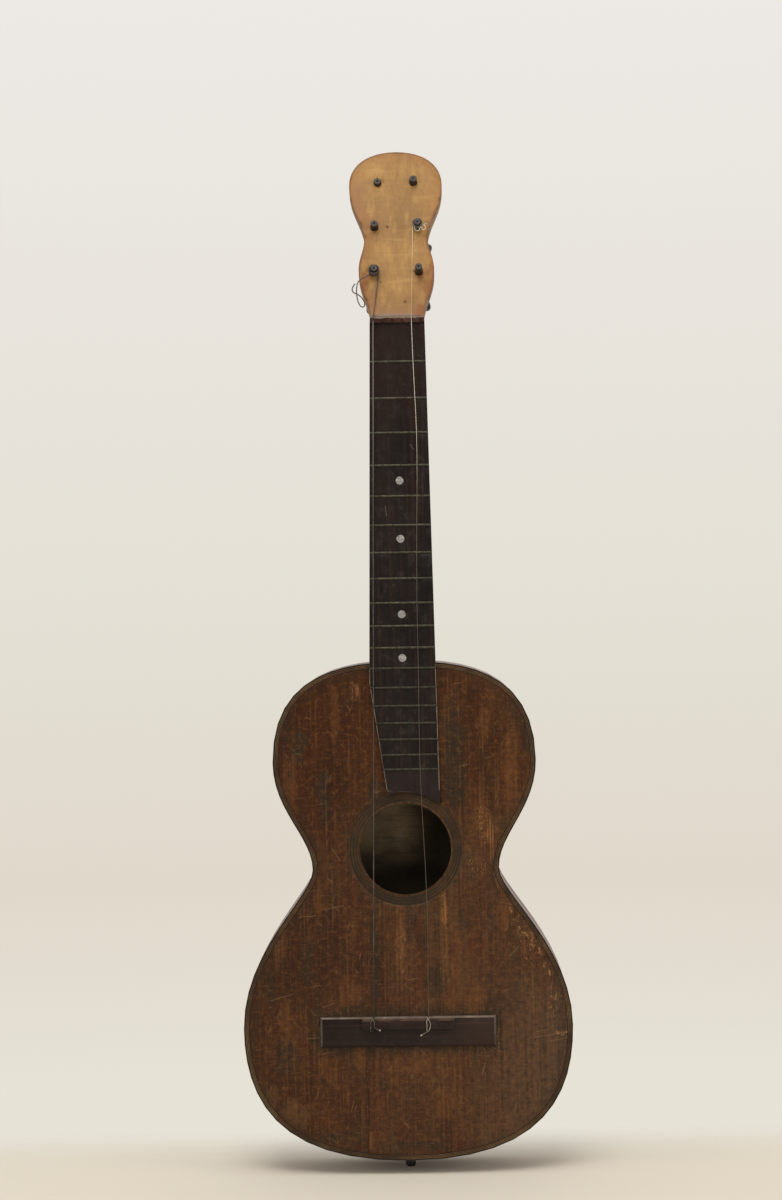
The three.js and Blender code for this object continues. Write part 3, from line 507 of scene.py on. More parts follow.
# %% Chips, scratches and dirty edges of the soundboard
speckle = top.noise((760, 1, 420), roughness=0.75)
chipped = top.spots(
    (100, -500, 9, 34), (108, -514, 4, 10), (118, -532, 4, 10), (-41, -300, 4, 12),
    (64, -414, 8, 24), (31, -484, 4, 22), (60, -448, 8, 14), (-5, -505, 5, 14),
    (66, -585, 12, 20), (120, -560, 8, 20), (94, -490, 6, 16),
)
flecks = top.times(top.step(speckle, 0.55, 0.64), top.blend(chipped, 0.1, 0.8, 0.0, 0.8))
top.coat((158, 114, 68), flecks)
bare_wood = top.spots(
    (31, -484, 2.8, 17), (-38, -300, 2.2, 10), (101, -505, 4, 12), (70, -418, 4, 22),
)
top.coat((136, 90, 48), top.times(bare_wood, top.blend(grain, 0.56, 0.44, 0.15, 0.75)))
edge_chips = top.strokes(
    1.5,
    (85, -481, 86, -484), (88, -490, 91, -489), (96, -501, 99, -504), (102, -511, 104, -512),
    (108, -514, 110, -519), (113, -526, 112, -529), (116, -533, 117, -536), (98, -493, 99, -494),
    (121, -553, 121, -556), (92, -497, 92, -499), (126, -585, 130, -583), (121, -583, 123, -584),
)
top.coat((168, 122, 74), top.times(edge_chips, top.step(speckle, 0.46, 0.54)), 0.75)
top.coat((140, 104, 68), top.step(speckle, 0.70, 0.76), 0.5)
top.coat((28, 20, 15), top.step(speckle, 0.34, 0.27), 0.6)
fine_scratches = top.maths(
    "MAXIMUM", top.hairs(0.3, 700, 50, 0.69), top.hairs(-0.8, 700, 60, 0.71),
    top.hairs(1.4, 700, 50, 0.71),
)
top.coat((138, 106, 74), fine_scratches, 0.3)
scratches = top.strokes(
    0.55,
    (-66, -480, -52, -477), (-112, -554, -94, -549), (116, -590, 130, -588),
    (-80, -322, -76, -324), (-98, -352, -95, -355), (-46, -313, -44, -317),
    (98, -500, 108, -504), (72, -452, 76, -466), (88, -470, 90, -480), (110, -512, 118, -518),
    (-70, -560, -60, -557), (-60, -430, -54, -440), (78, -476, 86, -478),
    (-88, -486, -74, -485), (84, -520, 92, -512), (-84, -586, -73, -585), (104, -587, 130, -583),
)
top.coat((146, 112, 76), scratches, 0.3)
top.coat((38, 29, 20), top.strokes(1.6, (-29, -486, -31, -560), (-31, -560, -34, -622)), 0.2)
crack = top.strokes(0.6, (-34, -622, -33.4, -650), (-33.4, -650, -34.4, -683))
top.coat((24, 15, 10), crack, 0.9)
crack_lip = top.strokes(2.2, (-31.8, -664, -32.2, -676))
top.coat((118, 76, 38), crack_lip, 0.5)
near_rim = top.step(top.rim(), 15 * mm, 2 * mm)
top.coat((44, 33, 24), top.times(near_rim, top.blend(top.ragged, -0.6, 0.6, 0.25, 1.0)), 0.6)
relief = top.maths(
    "SUBTRACT", top.plus(grain, top.times(clouds, 2.0)), top.plus(crack, scratches, flecks),
)
top_varnish = top.done(top.blend(mottle, 0.35, 0.7, 0.42, 0.62), relief, 0.06)
print("varnish of the soundboard has", len(top.tree.nodes), "nodes")

# %% [markdown]
# Ribs and back are plain hardwood under a glossier varnish. At a grazing angle it mirrors
# the pale wall, which is why a thin bright sliver shows beside the waist.

# %% Varnish of the ribs and back
sides = Finish("side_varnish", roughness=0.4, specular=0.4)
sides.shader.inputs["Specular Tint"].default_value = (1.0, 0.86, 0.76, 1)
figure = sides.noise((10, 26, 26), distortion=0.8)
sides.ground(figure, (0.30, (70, 42, 27)), (0.5, (101, 64, 40)), (0.72, (128, 86, 54)))
curl = sides.noise((60, 60, 420), detail=2, roughness=0.4, distortion=0.6)
sides.wash((60, 34, 21), curl, 0.5, 0.75, 0.4)
pores = sides.noise((700, 700, 30), detail=2, roughness=0.5)
sides.wash((38, 22, 14), pores, 0.58, 0.72, 0.5)
soil = sides.noise((22, 30, 18), detail=5, roughness=0.7)
sides.wash((48, 33, 24), soil, 0.52, 0.72, 0.55)
side_varnish = sides.done(sides.blend(soil, 0.35, 0.7, 0.34, 0.52), pores, 0.02)
print("varnish of the ribs and back has", len(sides.tree.nodes), "nodes")

# %% [markdown]
# The head is bare maple under an old clear finish: honey yellow, greyer where fingers tuned
# it, orange and brown towards its edges, with dark specks and pin holes. The neck is of the
# same wood, rubbed darker by the player's hand.

# %% Maple of the head and neck


def maple(name, pale, middle, deep, soiled):
    finish = Finish(name, roughness=0.5, specular=0.18)
    patches = finish.noise((24, 24, 16), detail=3, roughness=0.5)
    finish.ground(patches, (0.32, deep), (0.5, middle), (0.7, pale))
    finish.grain = finish.noise((620, 620, 7), detail=2)
    finish.wash((112, 78, 42), finish.grain, 0.50, 0.75, 0.4)
    streak = finish.noise((150, 150, 12), detail=3, roughness=0.55)
    finish.wash((186, 146, 84), streak, 0.52, 0.72, 0.45)
    finish.wash((128, 92, 56), streak, 0.46, 0.30, 0.4)
    wave = finish.noise((30, 30, 240), detail=2, roughness=0.4, distortion=0.5)
    finish.wash((188, 150, 96), wave, 0.55, 0.8, 0.3)
    specks = finish.noise((330, 330, 240), roughness=0.7)
    finish.coat((96, 60, 34), finish.step(specks, 0.66, 0.74), 0.55)
    finish.soil = finish.noise((60, 60, 40), roughness=0.65)
    finish.wash((120, 92, 66), finish.soil, 0.5, 0.75, soiled)
    return finish


head = maple("head_maple", (165, 126, 71), (152, 114, 64), (136, 100, 56), 0.3)
head.ragged = head.blend(head.soil, 0.3, 0.7, -0.7, 0.5)
wander = head.blend(head.soil, 0.3, 0.7, -mm, mm)
handled = head.spots((0, 18, 26, 14), (-32, 104, 10, 20), (24, 32, 9, 22))
head.coat((128, 92, 50), handled, 0.38)
across = head.noise((40, 40, 520), detail=3, distortion=0.5)
head.wash((120, 88, 50), across, 0.52, 0.72, 0.3)
head.coat((146, 94, 50), head.step(head.rim(), 12 * mm, 1 * mm), 0.35)
brown_rim = head.step(head.plus(head.rim(), wander), 2.0 * mm, 0.2 * mm)
head.coat((74, 42, 24), brown_rim, 0.5)
head.coat((132, 104, 82), head.along("Z", 22, 6), 0.3)
ledge = head.step(head.plus(head.axis("Z"), wander), 9 * mm, 5 * mm)
head.coat((140, 122, 108), head.times(ledge, head.along("Y", 3.5, 2)), 0.8)
orange_side = head.spots((24, 34, 9, 24), (-26, 34, 6, 18), (22, 10, 9, 10))
head.coat((126, 74, 33), orange_side, 0.65)
pink_side = head.spots((-30, 108, 9, 26), (-17, 88, 14, 7))
head.coat((146, 106, 80), pink_side, 0.25)
head.ragged = head.blend(head.soil, 0.3, 0.7, -0.2, 0.2)
pin_holes = head.spots((-7.0, 82.2, 1.7, 1.9), (6.9, 17.8, 1.8, 1.8), (-13.2, 35, 1.0, 1.0))
head.coat((92, 48, 30), pin_holes, 0.85)
head_maple = head.done(None, head.grain, 0.05)

neck = maple("neck_maple", (150, 108, 64), (130, 90, 52), (104, 70, 42), 0.6)
bare_ledge = neck.times(neck.along("Z", 2.4, 3.4), neck.along("Y", 3.5, 2))
neck.coat((142, 124, 110), bare_ledge, 0.85)
neck_maple = neck.done(None, neck.grain, 0.05)
print("maple of the head has", len(head.tree.nodes), "nodes, of the neck", len(neck.tree.nodes))

# %% [markdown]
# The fingerboard is nearly black with reddish streaks, the bridge is purple brown rosewood,
# and the nut is redder. Pegs and end pin are pear wood stained black, with brown showing
# through where they are handled.

# %% Dark woods


def dark_wood(name, roughness, deep, middle, streak, worn, grain=(420, 420, 6)):
    finish = Finish(name, roughness=roughness, specular=0.16)
    patches = finish.noise((30, 30, 10))
    finish.ground(patches, (0.35, deep), (0.65, middle))
    finish.lines = finish.noise(grain, detail=3)
    finish.wash(streak, finish.lines, 0.5, 0.72, 0.7)
    finish.dust = finish.noise((170, 170, 120), roughness=0.7)
    finish.wash(worn, finish.dust, 0.55, 0.75, 0.5)
    return finish


def dulled(finish, least, most, depth=0.05):
    """The finished wood, rougher where dust lies; least and most are its roughness."""
    return finish.done(finish.blend(finish.dust, 0.35, 0.7, least, most), finish.lines, depth)


board = dark_wood(
    "fingerboard_wood", 0.42, (23, 19, 17), (35, 28, 24), (54, 32, 25), (60, 52, 46),
)
board.coat((44, 27, 21), board.along("Z", -110, -20), 0.4)
board.coat((40, 30, 28), board.along("Z", -362, -372), 0.7)
over_body = board.times(board.along("Z", -276, -286), board.along("Z", -385, -381))
# The raised edges of the board over the body are painted pale: a painted highlight where they
# catch the light.
painted_edge_highlight = board.times(over_body, board.step(board.rim(), 0.9 * mm, 0.45 * mm))
board.coat((108, 98, 83), painted_edge_highlight)
nicks = board.strokes(0.5, (9, -100, 12, -104), (-12, -150, -11, -158))
board.coat((96, 84, 76), nicks, 0.8)
board_wood = dulled(board, 0.34, 0.55)

rosewood = dark_wood(
    "bridge_wood", 0.45, (27, 20, 18), (43, 31, 26), (62, 41, 30), (62, 52, 44), (7, 420, 420),
)
rosewood.coat((28, 20, 17), rosewood.along("X", 0, -60), 0.45)
rosewood.coat((64, 45, 34), rosewood.along("X", 10, 66), 0.3)
patches = rosewood.noise((90, 1, 90), detail=3)
# The pale line along the bridge's top edge is a painted highlight: the top bevel catching the
# light from above.
painted_top_highlight = rosewood.times(
    rosewood.step(rosewood.axis("Z"), bridge_high.z - 1.4 * mm, bridge_high.z - 0.7 * mm),
    rosewood.blend(patches, 0.35, 0.65, 0.45, 1.0),
)
rosewood.coat((126, 112, 101), painted_top_highlight)
bridge_wood = dulled(rosewood, 0.32, 0.52)
# The bevels at the bridge's ends: paler from rubbing, and partly a painted highlight.
arris = dark_wood(
    "bridge_worn_and_lit_edge", 0.45, (52, 42, 37), (92, 81, 73), (108, 92, 78), (46, 36, 30),
    (40, 420, 420),
)
bridge_edge = arris.done(None, arris.lines, 0.05)

red_wood = dark_wood(
    "nut_wood", 0.45, (38, 22, 18), (64, 36, 26), (84, 50, 38), (96, 78, 68), (30, 420, 420),
)
nut_wood = red_wood.done(None, red_wood.dust, 0.2)
stained = dark_wood(
    "peg_wood", 0.34, (24, 22, 22), (40, 36, 35), (56, 45, 39), (84, 72, 63), (220, 30, 220),
)
peg_wood = dulled(stained, 0.26, 0.45, depth=0.04)
cut_end = dark_wood(
    "bare_peg_end", 0.4, (44, 40, 39), (70, 65, 62), (56, 48, 43), (96, 88, 82), (600, 600, 600),
)
peg_end = cut_end.done(None, cut_end.lines, 0.05)
print("dark woods:", board_wood.name, bridge_wood.name, nut_wood.name, peg_wood.name)

# %% [markdown]
# Inlay is thin dyed and plain wood set side by side. After two centuries the pale lines have
# nearly sunk into the varnish, so each line's colour fades in and out along its way.

# %% Inlaid lines


def inlay_line(name, faint, clear):
    finish = Finish(name, roughness=0.5, specular=0.14)
    fading = finish.noise((26, 26, 26), roughness=0.7)
    finish.ground(fading, (0.38, faint), (0.62, clear))
    crumbs = finish.noise((700, 700, 700), detail=2)
    finish.wash((40, 27, 18), crumbs, 0.5, 0.75, 0.5)
    return finish.done(None, crumbs, 0.05)


dark_line = inlay_line("dark_line", (38, 26, 18), (28, 19, 13))
pale_line = inlay_line("pale_line", (64, 46, 29), (112, 84, 53))
outer_binding = inlay_line("outer_binding", (28, 20, 15), (42, 31, 23))
print("inlay:", dark_line.name, pale_line.name, outer_binding.name)

# %% Rings round the soundhole
ring_pitch = 2.35 * mm
rings = Finish("ring_lines", roughness=0.5, specular=0.14)
ripple = rings.maths("SINE", rings.times(rings.away_from(hole_centre), 2 * math.pi / ring_pitch))
fading = rings.noise((34, 1, 34), detail=5, roughness=0.7)
rings.ground(fading, (0.35, (40, 30, 20)), (0.55, (52, 38, 24)), (0.75, (68, 47, 27)))
clear_part = rings.blend(fading, 0.42, 0.65, 0.05, 0.55)
rings.coat((34, 25, 18), rings.times(rings.step(ripple, 0.0, 0.6), clear_part))
rings.coat((92, 70, 43), rings.times(rings.step(ripple, -0.3, -0.9), clear_part))
grime = rings.noise((420, 1, 300), roughness=0.7)
rings.wash((40, 30, 22), grime, 0.5, 0.7, 0.6)
rings.wash((92, 66, 40), grime, 0.42, 0.3, 0.3)
patches = rings.noise((50, 1, 50), roughness=0.65)
rings.wash((76, 46, 22), patches, 0.5, 0.7, 0.6)
rings.wash((40, 33, 24), patches, 0.5, 0.34, 0.75)
ring_lines = rings.done(None, fading, 0.05)
print("rings of the soundhole have", len(rings.tree.nodes), "nodes")

# %% [markdown]
# Small parts: fret wire of worn grey-gold metal, bone and pearl, aged spruce and bare paper
# inside the body, and gut in several states.

# %% Metal, bone, spruce, gut and pearl


def plain_finish(name, deep, pale, per_metre, roughness, specular=0.3, metallic=0.0, relief=0.03):
    finish = Finish(name, roughness, specular, metallic)
    patches = finish.noise(per_metre)
    finish.ground(patches, (0.35, deep), (0.65, pale))
    return finish.done(None, patches, relief)


even = (300, 300, 300)
fret_metal = plain_finish("fret_metal", (48, 45, 36), (80, 76, 60), even, 0.5, metallic=0.5)
dull_fret_metal = plain_finish(
    "dull_fret_metal", (40, 38, 30), (66, 62, 50), even, 0.5, metallic=0.5,
)
worn_bone = plain_finish("worn_bone", (44, 33, 26), (90, 67, 51), (160, 600, 600), 0.5, 0.2)
spruce_inside = plain_finish(
    "spruce_inside", (92, 74, 48), (134, 110, 74), (300, 300, 12), 0.75,
)
gut = plain_finish("gut", (128, 120, 104), (172, 164, 146), (300, 300, 60), 0.35, 0.4)
pale_gut = plain_finish(
    "pale_gut", (184, 172, 148), (214, 204, 182), (300, 300, 60), 0.35, 0.4,
)
# Darker gut: soiled, and on the treble peg's coil also painted shade, where the coil lies behind
# the peg's tip.
dark_gut = plain_finish(
    "dark_gut", (52, 47, 43), (128, 120, 108), (500, 500, 500), 0.4, 0.3, relief=0.05,
)
soiled = Finish("soiled_gut", roughness=0.35, specular=0.4)
soiled.ground(
    soiled.blend(soiled.axis("Z"), 90 * mm, -230 * mm),
    (0.0, (214, 202, 178)), (0.11, (190, 172, 138)), (0.25, (160, 140, 106)),
    (0.28, (206, 200, 188)), (0.55, (190, 183, 168)), (0.70, (104, 96, 82)), (1.0, (78, 69, 57)),
)
soiled_gut = soiled.done()
nacre = Finish("pearl", roughness=0.25, specular=0.5)
sheen = nacre.noise((500, 500, 700), detail=3, roughness=0.5, distortion=1.0)
nacre.ground(sheen, (0.35, (104, 100, 98)), (0.5, (138, 133, 129)), (0.65, (164, 158, 150)))
pearl = nacre.done()
print("finishes so far:", len(bpy.data.materials))

# %% Paper inside the body, and painted light behind the soundhole


def painted_light_patch(finish, uneven):
    """A painted patch of light behind the soundhole: most at its upper bass side, none low down.
    """
    height = finish.plus(finish.axis("Z"), finish.blend(uneven, 0.3, 0.7, -5 * mm, 5 * mm))
    upper = finish.step(height, hole_centre.z - 26 * mm, hole_centre.z + 14 * mm)
    return finish.times(upper, finish.along("X", 26, -8))


paper = Finish("aged_paper", roughness=0.85, specular=0.1)
stains = paper.noise((50, 50, 70), detail=5, roughness=0.65)
paper.ground(stains, (0.35, (118, 100, 75)), (0.5, (131, 112, 85)), (0.68, (142, 122, 94)))
# Outside the painted patch of light the label is painted dark, as painted shade.
paper.colour = paper.layer(tone(56, 47, 35), paper.colour, painted_light_patch(paper, stains))
damp = paper.noise((16, 1, 200), roughness=0.7, distortion=0.6)
paper.wash((58, 44, 30), damp, 0.5, 0.66, 0.5)
fibres = paper.noise((900, 900, 500), detail=2, roughness=0.5)
paper.wash((76, 58, 38), fibres, 0.56, 0.75, 0.5)
aged_paper = paper.done(None, fibres, 0.03)
print("paper has", len(paper.tree.nodes), "nodes")

# %% [markdown]
# The CAD meshes are flat triangles with hard edges, and nothing real has a knife edge. Nodes
# whose shape is right keep their mesh: a small geometry-node tool welds the triangles and
# smooths curved faces, and a bevel rounds what stays sharp.

# %% Soft edges for the CAD nodes
hair = 0.01 * mm  # points nearer than this are one point


def soft_edges_tool(name, sharp_from):
    tool = bpy.data.node_groups.new(name, "GeometryNodeTree")
    for way in ("INPUT", "OUTPUT"):
        tool.interface.new_socket("Geometry", in_out=way, socket_type="NodeSocketGeometry")
    steps = [tool.nodes.new(kind) for kind in (
        "NodeGroupInput", "GeometryNodeMergeByDistance", "GeometryNodeRemoveAttribute",
        "GeometryNodeSetShadeSmooth", "GeometryNodeSetShadeSmooth", "NodeGroupOutput",
    )]
    for first, second in zip(steps, steps[1:]):
        tool.links.new(first.outputs[0], second.inputs[0])
    weld, forget, whole, sharp = steps[1:5]
    weld.inputs["Distance"].default_value = hair
    forget.inputs["Name"].default_value = "custom_normal"
    whole.inputs["Shade Smooth"].default_value = True
    sharp.domain = "EDGE"
    sharp.inputs["Shade Smooth"].default_value = False
    angle = tool.nodes.new("GeometryNodeInputMeshEdgeAngle")
    compare = tool.nodes.new("FunctionNodeCompare")
    compare.operation = "GREATER_THAN"
    compare.inputs["B"].default_value = math.radians(sharp_from)
    tool.links.new(angle.outputs["Unsigned Angle"], compare.inputs["A"])
    tool.links.new(compare.outputs[0], sharp.inputs["Selection"])
    return tool


def ease(piece, width, degrees=40):
    """Rounds by width, in mm, the edges at which faces meet at more than so many degrees."""
    bevel = piece.modifiers.new("eased_edges", "BEVEL")
    bevel.width = width * mm
    bevel.segments = 2
    bevel.limit_method = "ANGLE"
    bevel.angle_limit = math.radians(degrees)


soft_edges = soft_edges_tool("soft_edges", sharp_from)
soft_round = soft_edges_tool("soft_round", 62)


def finish_node(name, material, width, tool=soft_edges):
    """A CAD node that keeps its shape: new material, smooth faces, edges eased by width."""
    piece = frame["nodes"][name]
    piece.data.materials.clear()
    piece.data.materials.append(material)
    piece.modifiers.new("weld_and_smooth", "NODES").node_group = tool
    if width:
        ease(piece, width)


for name in frame["nodes"]:
    if name.startswith("fret_"):
        over_neck = int(name[-2:]) < 12
        finish_node(name, fret_metal if over_neck else dull_fret_metal, 0.1, soft_round)
    elif name.startswith("position_dot"):
        finish_node(name, pearl, 0.15)
    elif "brace" in name or "lining" in name or name in ("neck_block", "end_block"):
        finish_node(name, spruce_inside, 0.5)
for name, material, width in (
    ("rib_bass", side_varnish, 0.5), ("rib_treble", side_varnish, 0.5),
    ("neck", neck_maple, 0.5), ("tie_block_edging", worn_bone, 0.3),
    ("paper_label", aged_paper, 0), ("end_pin", peg_wood, 0.2),
):
    finish_node(name, material, width)
print(len(frame["nodes"]), "CAD nodes, of which the plain ones keep their mesh")

# %% [markdown]
# The plates need more: dirt gathers along their outlines, and the back has two finishes.
# Each is copied into a new piece and cut into a fine grid, and every point is told how far
# it lies from the outline. That number, named rim, drives the dirty or glowing edge.

# %% A plate as a fine grid that knows its rim


def welded(node):
    """A CAD node's mesh as an editable copy, with its triangles joined."""
    shape = bmesh.new()
    shape.from_mesh(frame["nodes"][node].data)
    bmesh.ops.remove_doubles(shape, verts=shape.verts, dist=hair)
    return shape


def front_loops(node, facing, aligned=0.98, depth=0.3 * mm):
    """The outlines of the foremost faces that look along facing, longest first."""
    shape = welded(node)
    shape.normal_update()
    others = [face for face in shape.faces if face.normal.dot(facing) < aligned]
    bmesh.ops.delete(shape, geom=others, context="FACES")
    nearest = min(vert.co.dot(-facing) for vert in shape.verts)
    behind = [vert for vert in shape.verts if vert.co.dot(-facing) > nearest + depth]
    bmesh.ops.delete(shape, geom=behind, context="VERTS")
    left = [edge for edge in shape.edges if edge.is_boundary]
    loops = []
    while left:
        loop = list(left.pop().verts)
        while loop[-1] != loop[0]:
            step = next((edge for edge in loop[-1].link_edges if edge in left), None)
            if step is None:
                break
            left.remove(step)
            loop.append(step.other_vert(loop[-1]))
        loops.append([vert.co.copy() for vert in loop[:-1]])
    shape.free()
    return sorted(loops, key=lambda line: -sum((a - b).length for a, b in zip(line, line[1:])))


def rim_finder(loop, spacing=1.0 * mm):
    """A search tree of points along an outline."""
    dense = []
    for start, end in zip(loop, loop[1:] + loop[:1]):
        count = max(1, math.ceil((end - start).length / spacing))
        dense += [start.lerp(end, i / count) for i in range(count)]
    tree = mathutils.kdtree.KDTree(len(dense))
    for index, point in enumerate(dense):
        tree.insert(Vector((point.x, 0, point.z)), index)
    tree.balance()
    return tree


def plate(node, name, grid, loop, slot, *materials):
    shape = welded(node)
    low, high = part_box(node)
    for axis in (0, 2):
        normal = Vector((axis == 0, 0, axis == 2))
        for i in range(1, math.ceil((high[axis] - low[axis]) / grid)):
            bmesh.ops.bisect_plane(
                shape, geom=shape.verts[:] + shape.edges[:] + shape.faces[:],
                plane_co=low + normal * (i * grid), plane_no=normal, dist=hair / 10,
            )
    piece = mesh_piece(shape, name, *materials)
    tree = rim_finder(loop)
    rim = [tree.find(Vector((vert.co.x, 0, vert.co.z)))[2] for vert in piece.data.vertices]
    piece.data.attributes.new("rim", "FLOAT", "POINT").data.foreach_set("value", rim)
    return seat(piece, body_of[node], slot, node)


forward = Vector((0, -1, 0))
body_loop = front_loops("top_purfling", forward)[0]
soundboard = plate(
    "soundboard", "varnished_soundboard", 6 * mm, body_loop, "top_wood", top_varnish,
)
print("soundboard:", len(soundboard.data.polygons), "faces; outline of", len(body_loop), "points")

# %% Back plate with two faces
inside = Finish("inside_of_back", roughness=0.7, specular=0.15)
boards = inside.noise((16, 0, 40))
# The dark ground inside the back is partly painted shade, and the pale patch is painted light
# falling through the soundhole.
inside.ground(boards, (0.35, (44, 37, 27)), (0.5, (56, 47, 35)), (0.7, (70, 58, 43)))
ray_lines = inside.noise((30, 0, 420), detail=3)
inside.wash((58, 34, 20), ray_lines, 0.56, 0.7, 0.7)
inside.coat((142, 122, 90), painted_light_patch(inside, boards))
inside_of_back = inside.done(None, ray_lines, 0.05)
back = plate(
    "back_plate", "varnished_back", 24 * mm, front_loops("back_plate", -forward)[0],
    "side_wood", side_varnish, inside_of_back,
)
for face in back.data.polygons:
    face.material_index = 1 if face.normal.y < -0.9 else 0
ease(back, 0.8)
print("back:", len(back.data.polygons), "faces")

# %% Head and fingerboard
head_tilt = math.radians(18)
head_front = Vector((0, -math.cos(head_tilt), math.sin(head_tilt)))
head_loop = front_loops("headstock", head_front)[0]
plate("headstock", "maple_head", 6 * mm, head_loop, "head_wood", head_maple)
fingerboard = plate(
    "fingerboard", "worn_fingerboard", 9 * mm, front_loops("fingerboard", -forward)[0],
    "dark_wood", board_wood,
)
ease(fingerboard, 0.25)
print("head outline of", len(head_loop), "points")

# %% [markdown]
# The edge of the soundboard carries a dark binding and a set of thin inlaid lines. The CAD
# has one solid band there. In its place goes a band with a face strip for every line, made by
# moving the outline inwards step by step, so that each line keeps its width round the curves.

# %% Inlaid lines along the edge
band_steps = [
    (0.0, outer_binding), (1.3, pale_line), (1.8, dark_line), (2.4, pale_line),
    (2.9, dark_line), (3.5, pale_line), (3.9, dark_line), (4.2, None),
]


def moved_in(loop, distance):
    """The outline moved towards its inside, in the front's plane."""
    area = sum(a.x * b.z - b.x * a.z for a, b in zip(loop, loop[1:] + loop[:1]))
    moved = []
    for i, point in enumerate(loop):
        way = loop[(i + 1) % len(loop)] - loop[i - 1]
        inward = Vector((-way.z, 0, way.x)).normalized() * math.copysign(distance, area)
        moved.append(point + inward)
    return moved


def join(shape, near, far, look=0):
    """Faces between two rings of points; points that fall together make triangles."""
    for i in range(len(near)):
        j = (i + 1) % len(near)
        corners = list(dict.fromkeys((near[i], near[j], far[j], far[i])))
        if len(corners) > 2:
            shape.faces.new(corners).material_index = look


shape = bmesh.new()
finishes = [outer_binding, pale_line, dark_line]
lines = [
    [shape.verts.new(point) for point in moved_in(body_loop, distance * mm)]
    for distance, _ in band_steps
]
through = Vector((0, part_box("top_purfling")[1].y, 0))
inner_back, outer_back = (
    [shape.verts.new(vert.co + through) for vert in line] for line in (lines[-1], lines[0])
)
walls = [*lines, inner_back, outer_back, lines[0]]
looks = [finishes.index(look) for _, look in band_steps[:-1]] + [0, 0, 0]
for near, far, look in zip(walls, walls[1:], looks):
    join(shape, near, far, look)
bmesh.ops.recalc_face_normals(shape, faces=shape.faces)
edge_lines = seat(
    mesh_piece(shape, "edge_lines", *finishes), "instrument", "inlay", "top_purfling",
)
ease(edge_lines, 0.5, 60)
print("edge lines:", len(band_steps) - 1, "strips")

# %% Inlaid rings round the soundhole
channel_gap = 0.28 * mm
ring_width = 6.9 * mm
ring_count, ring_turns = 6, 144
outer_radius = (ring_high.x - ring_low.x) / 2 + channel_gap
step_in = (ring_width + 2 * channel_gap) / ring_count
ring_radii = [outer_radius - i * step_in for i in range(ring_count + 1)]
ring_section = [
    (ring_radii[0], ring_high.y), *[(radius, ring_low.y - hair) for radius in ring_radii],
    (ring_radii[-1], ring_high.y),
]
shape = bmesh.new()
columns = []
for i in range(ring_turns):
    turn = 2 * math.pi * i / ring_turns
    columns.append([
        shape.verts.new((
            hole_centre.x + radius * math.cos(turn), y, hole_centre.z + radius * math.sin(turn),
        ))
        for radius, y in ring_section
    ])
for here, there in zip(columns, columns[1:] + columns[:1]):
    join(shape, here, there)
bmesh.ops.recalc_face_normals(shape, faces=shape.faces)
inlaid_rings = mesh_piece(shape, "inlaid_rings", ring_lines)
seat(inlaid_rings, "instrument", "inlay", "soundhole_ring")
print("inlaid rings:", ring_turns, "steps round")

# %% [markdown]
# The bridge is one piece of dark wood with bevelled edges and a raised block. The bevels at its
# ends are paler, partly rubbed and partly a painted highlight, so they get a finish of their own.
# The nut has been filed and worn until its top edge waves, so its mesh is cut finely and its
# upper points are moved a little.

# %% Bridge and nut
shape = welded("bridge")
shape.normal_update()
for face in shape.faces:
    at_its_end = 0.5 < abs(face.normal.x) < 0.97 and face.calc_center_median().y > -5 * mm
    face.material_index = 1 if at_its_end else 0
bridge = mesh_piece(shape, "rosewood_bridge", bridge_wood, bridge_edge, smooth_to=30)
ease(seat(bridge, "instrument", "dark_wood", "bridge"), 0.35)

nut_low, nut_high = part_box("nut")
worn_depth, top_edge = 2.2 * mm, 1.2 * mm
wave_length, wave_height = 3.4 * mm, 0.9 * mm
pit_size, pit_depth = 2.6 * mm, 0.8 * mm
nut = plate(
    "nut", "worn_nut", 1.1 * mm, front_loops("nut", forward)[0], "dark_wood", nut_wood,
)
for vert in nut.data.vertices:
    worn = max(0.0, (nut_low.y + worn_depth - vert.co.y) / worn_depth)
    if vert.co.z > nut_low.z + top_edge:
        wave = mathutils.noise.noise(Vector((vert.co.x / wave_length, 0.7, 0)))
        vert.co.z += wave * wave_height * (0.3 + 0.7 * worn)
    vert.co.y += abs(mathutils.noise.noise(vert.co / pit_size)) * pit_depth * worn
nut.data.update()
print("nut:", len(nut.data.vertices), "points")

# %% [markdown]
# Six friction pegs hold the strings by the taper of their shafts. Each is turned on a lathe,
# with a collar behind the head. Its paddle is a grid bent to a heart-like leaf, thinner in
# the middle of each face where thumb and finger press.

# %% Places and shapes of the pegs
peg_turns = {1: 50, 2: -30, 3: -35, 4: 20, 5: 80, 6: -60}
pivots = {joint["child"]: Vector(joint["pos_m"]) for joint in frame["joints"]}
shaft_length, collar_length, collar_radius = 40.6 * mm, 2.2 * mm, 5.4 * mm
tip_radius, peg_taper, stem_length = 3 * mm, 1 / 56, 7.5 * mm
paddle_width, paddle_length, paddle_thickness = 27 * mm, 27 * mm, 6.4 * mm
string_hole_inset, string_hole_radius = 1.7 * mm, 0.8 * mm
widest_at = 0.52  # as a share of the paddle's length
peg_sides = 40


def peg_seat(number):
    """The place of a peg's hole, with Y along the hole."""
    pivot = pivots[f"peg_body_{number}"]
    return Matrix.Translation(pivot) @ Matrix.Rotation(-head_tilt, 4, "X")


def peg_place(number):
    return peg_seat(number) @ Matrix.Rotation(math.radians(peg_turns[number]), 4, "Y")


def peg_tip(number):
    """How far the peg stands out of the head's front."""
    inverse = peg_place(number).inverted()
    return -min((inverse @ vert.co).y for vert in frame["nodes"][f"peg_{number}"].data.vertices)


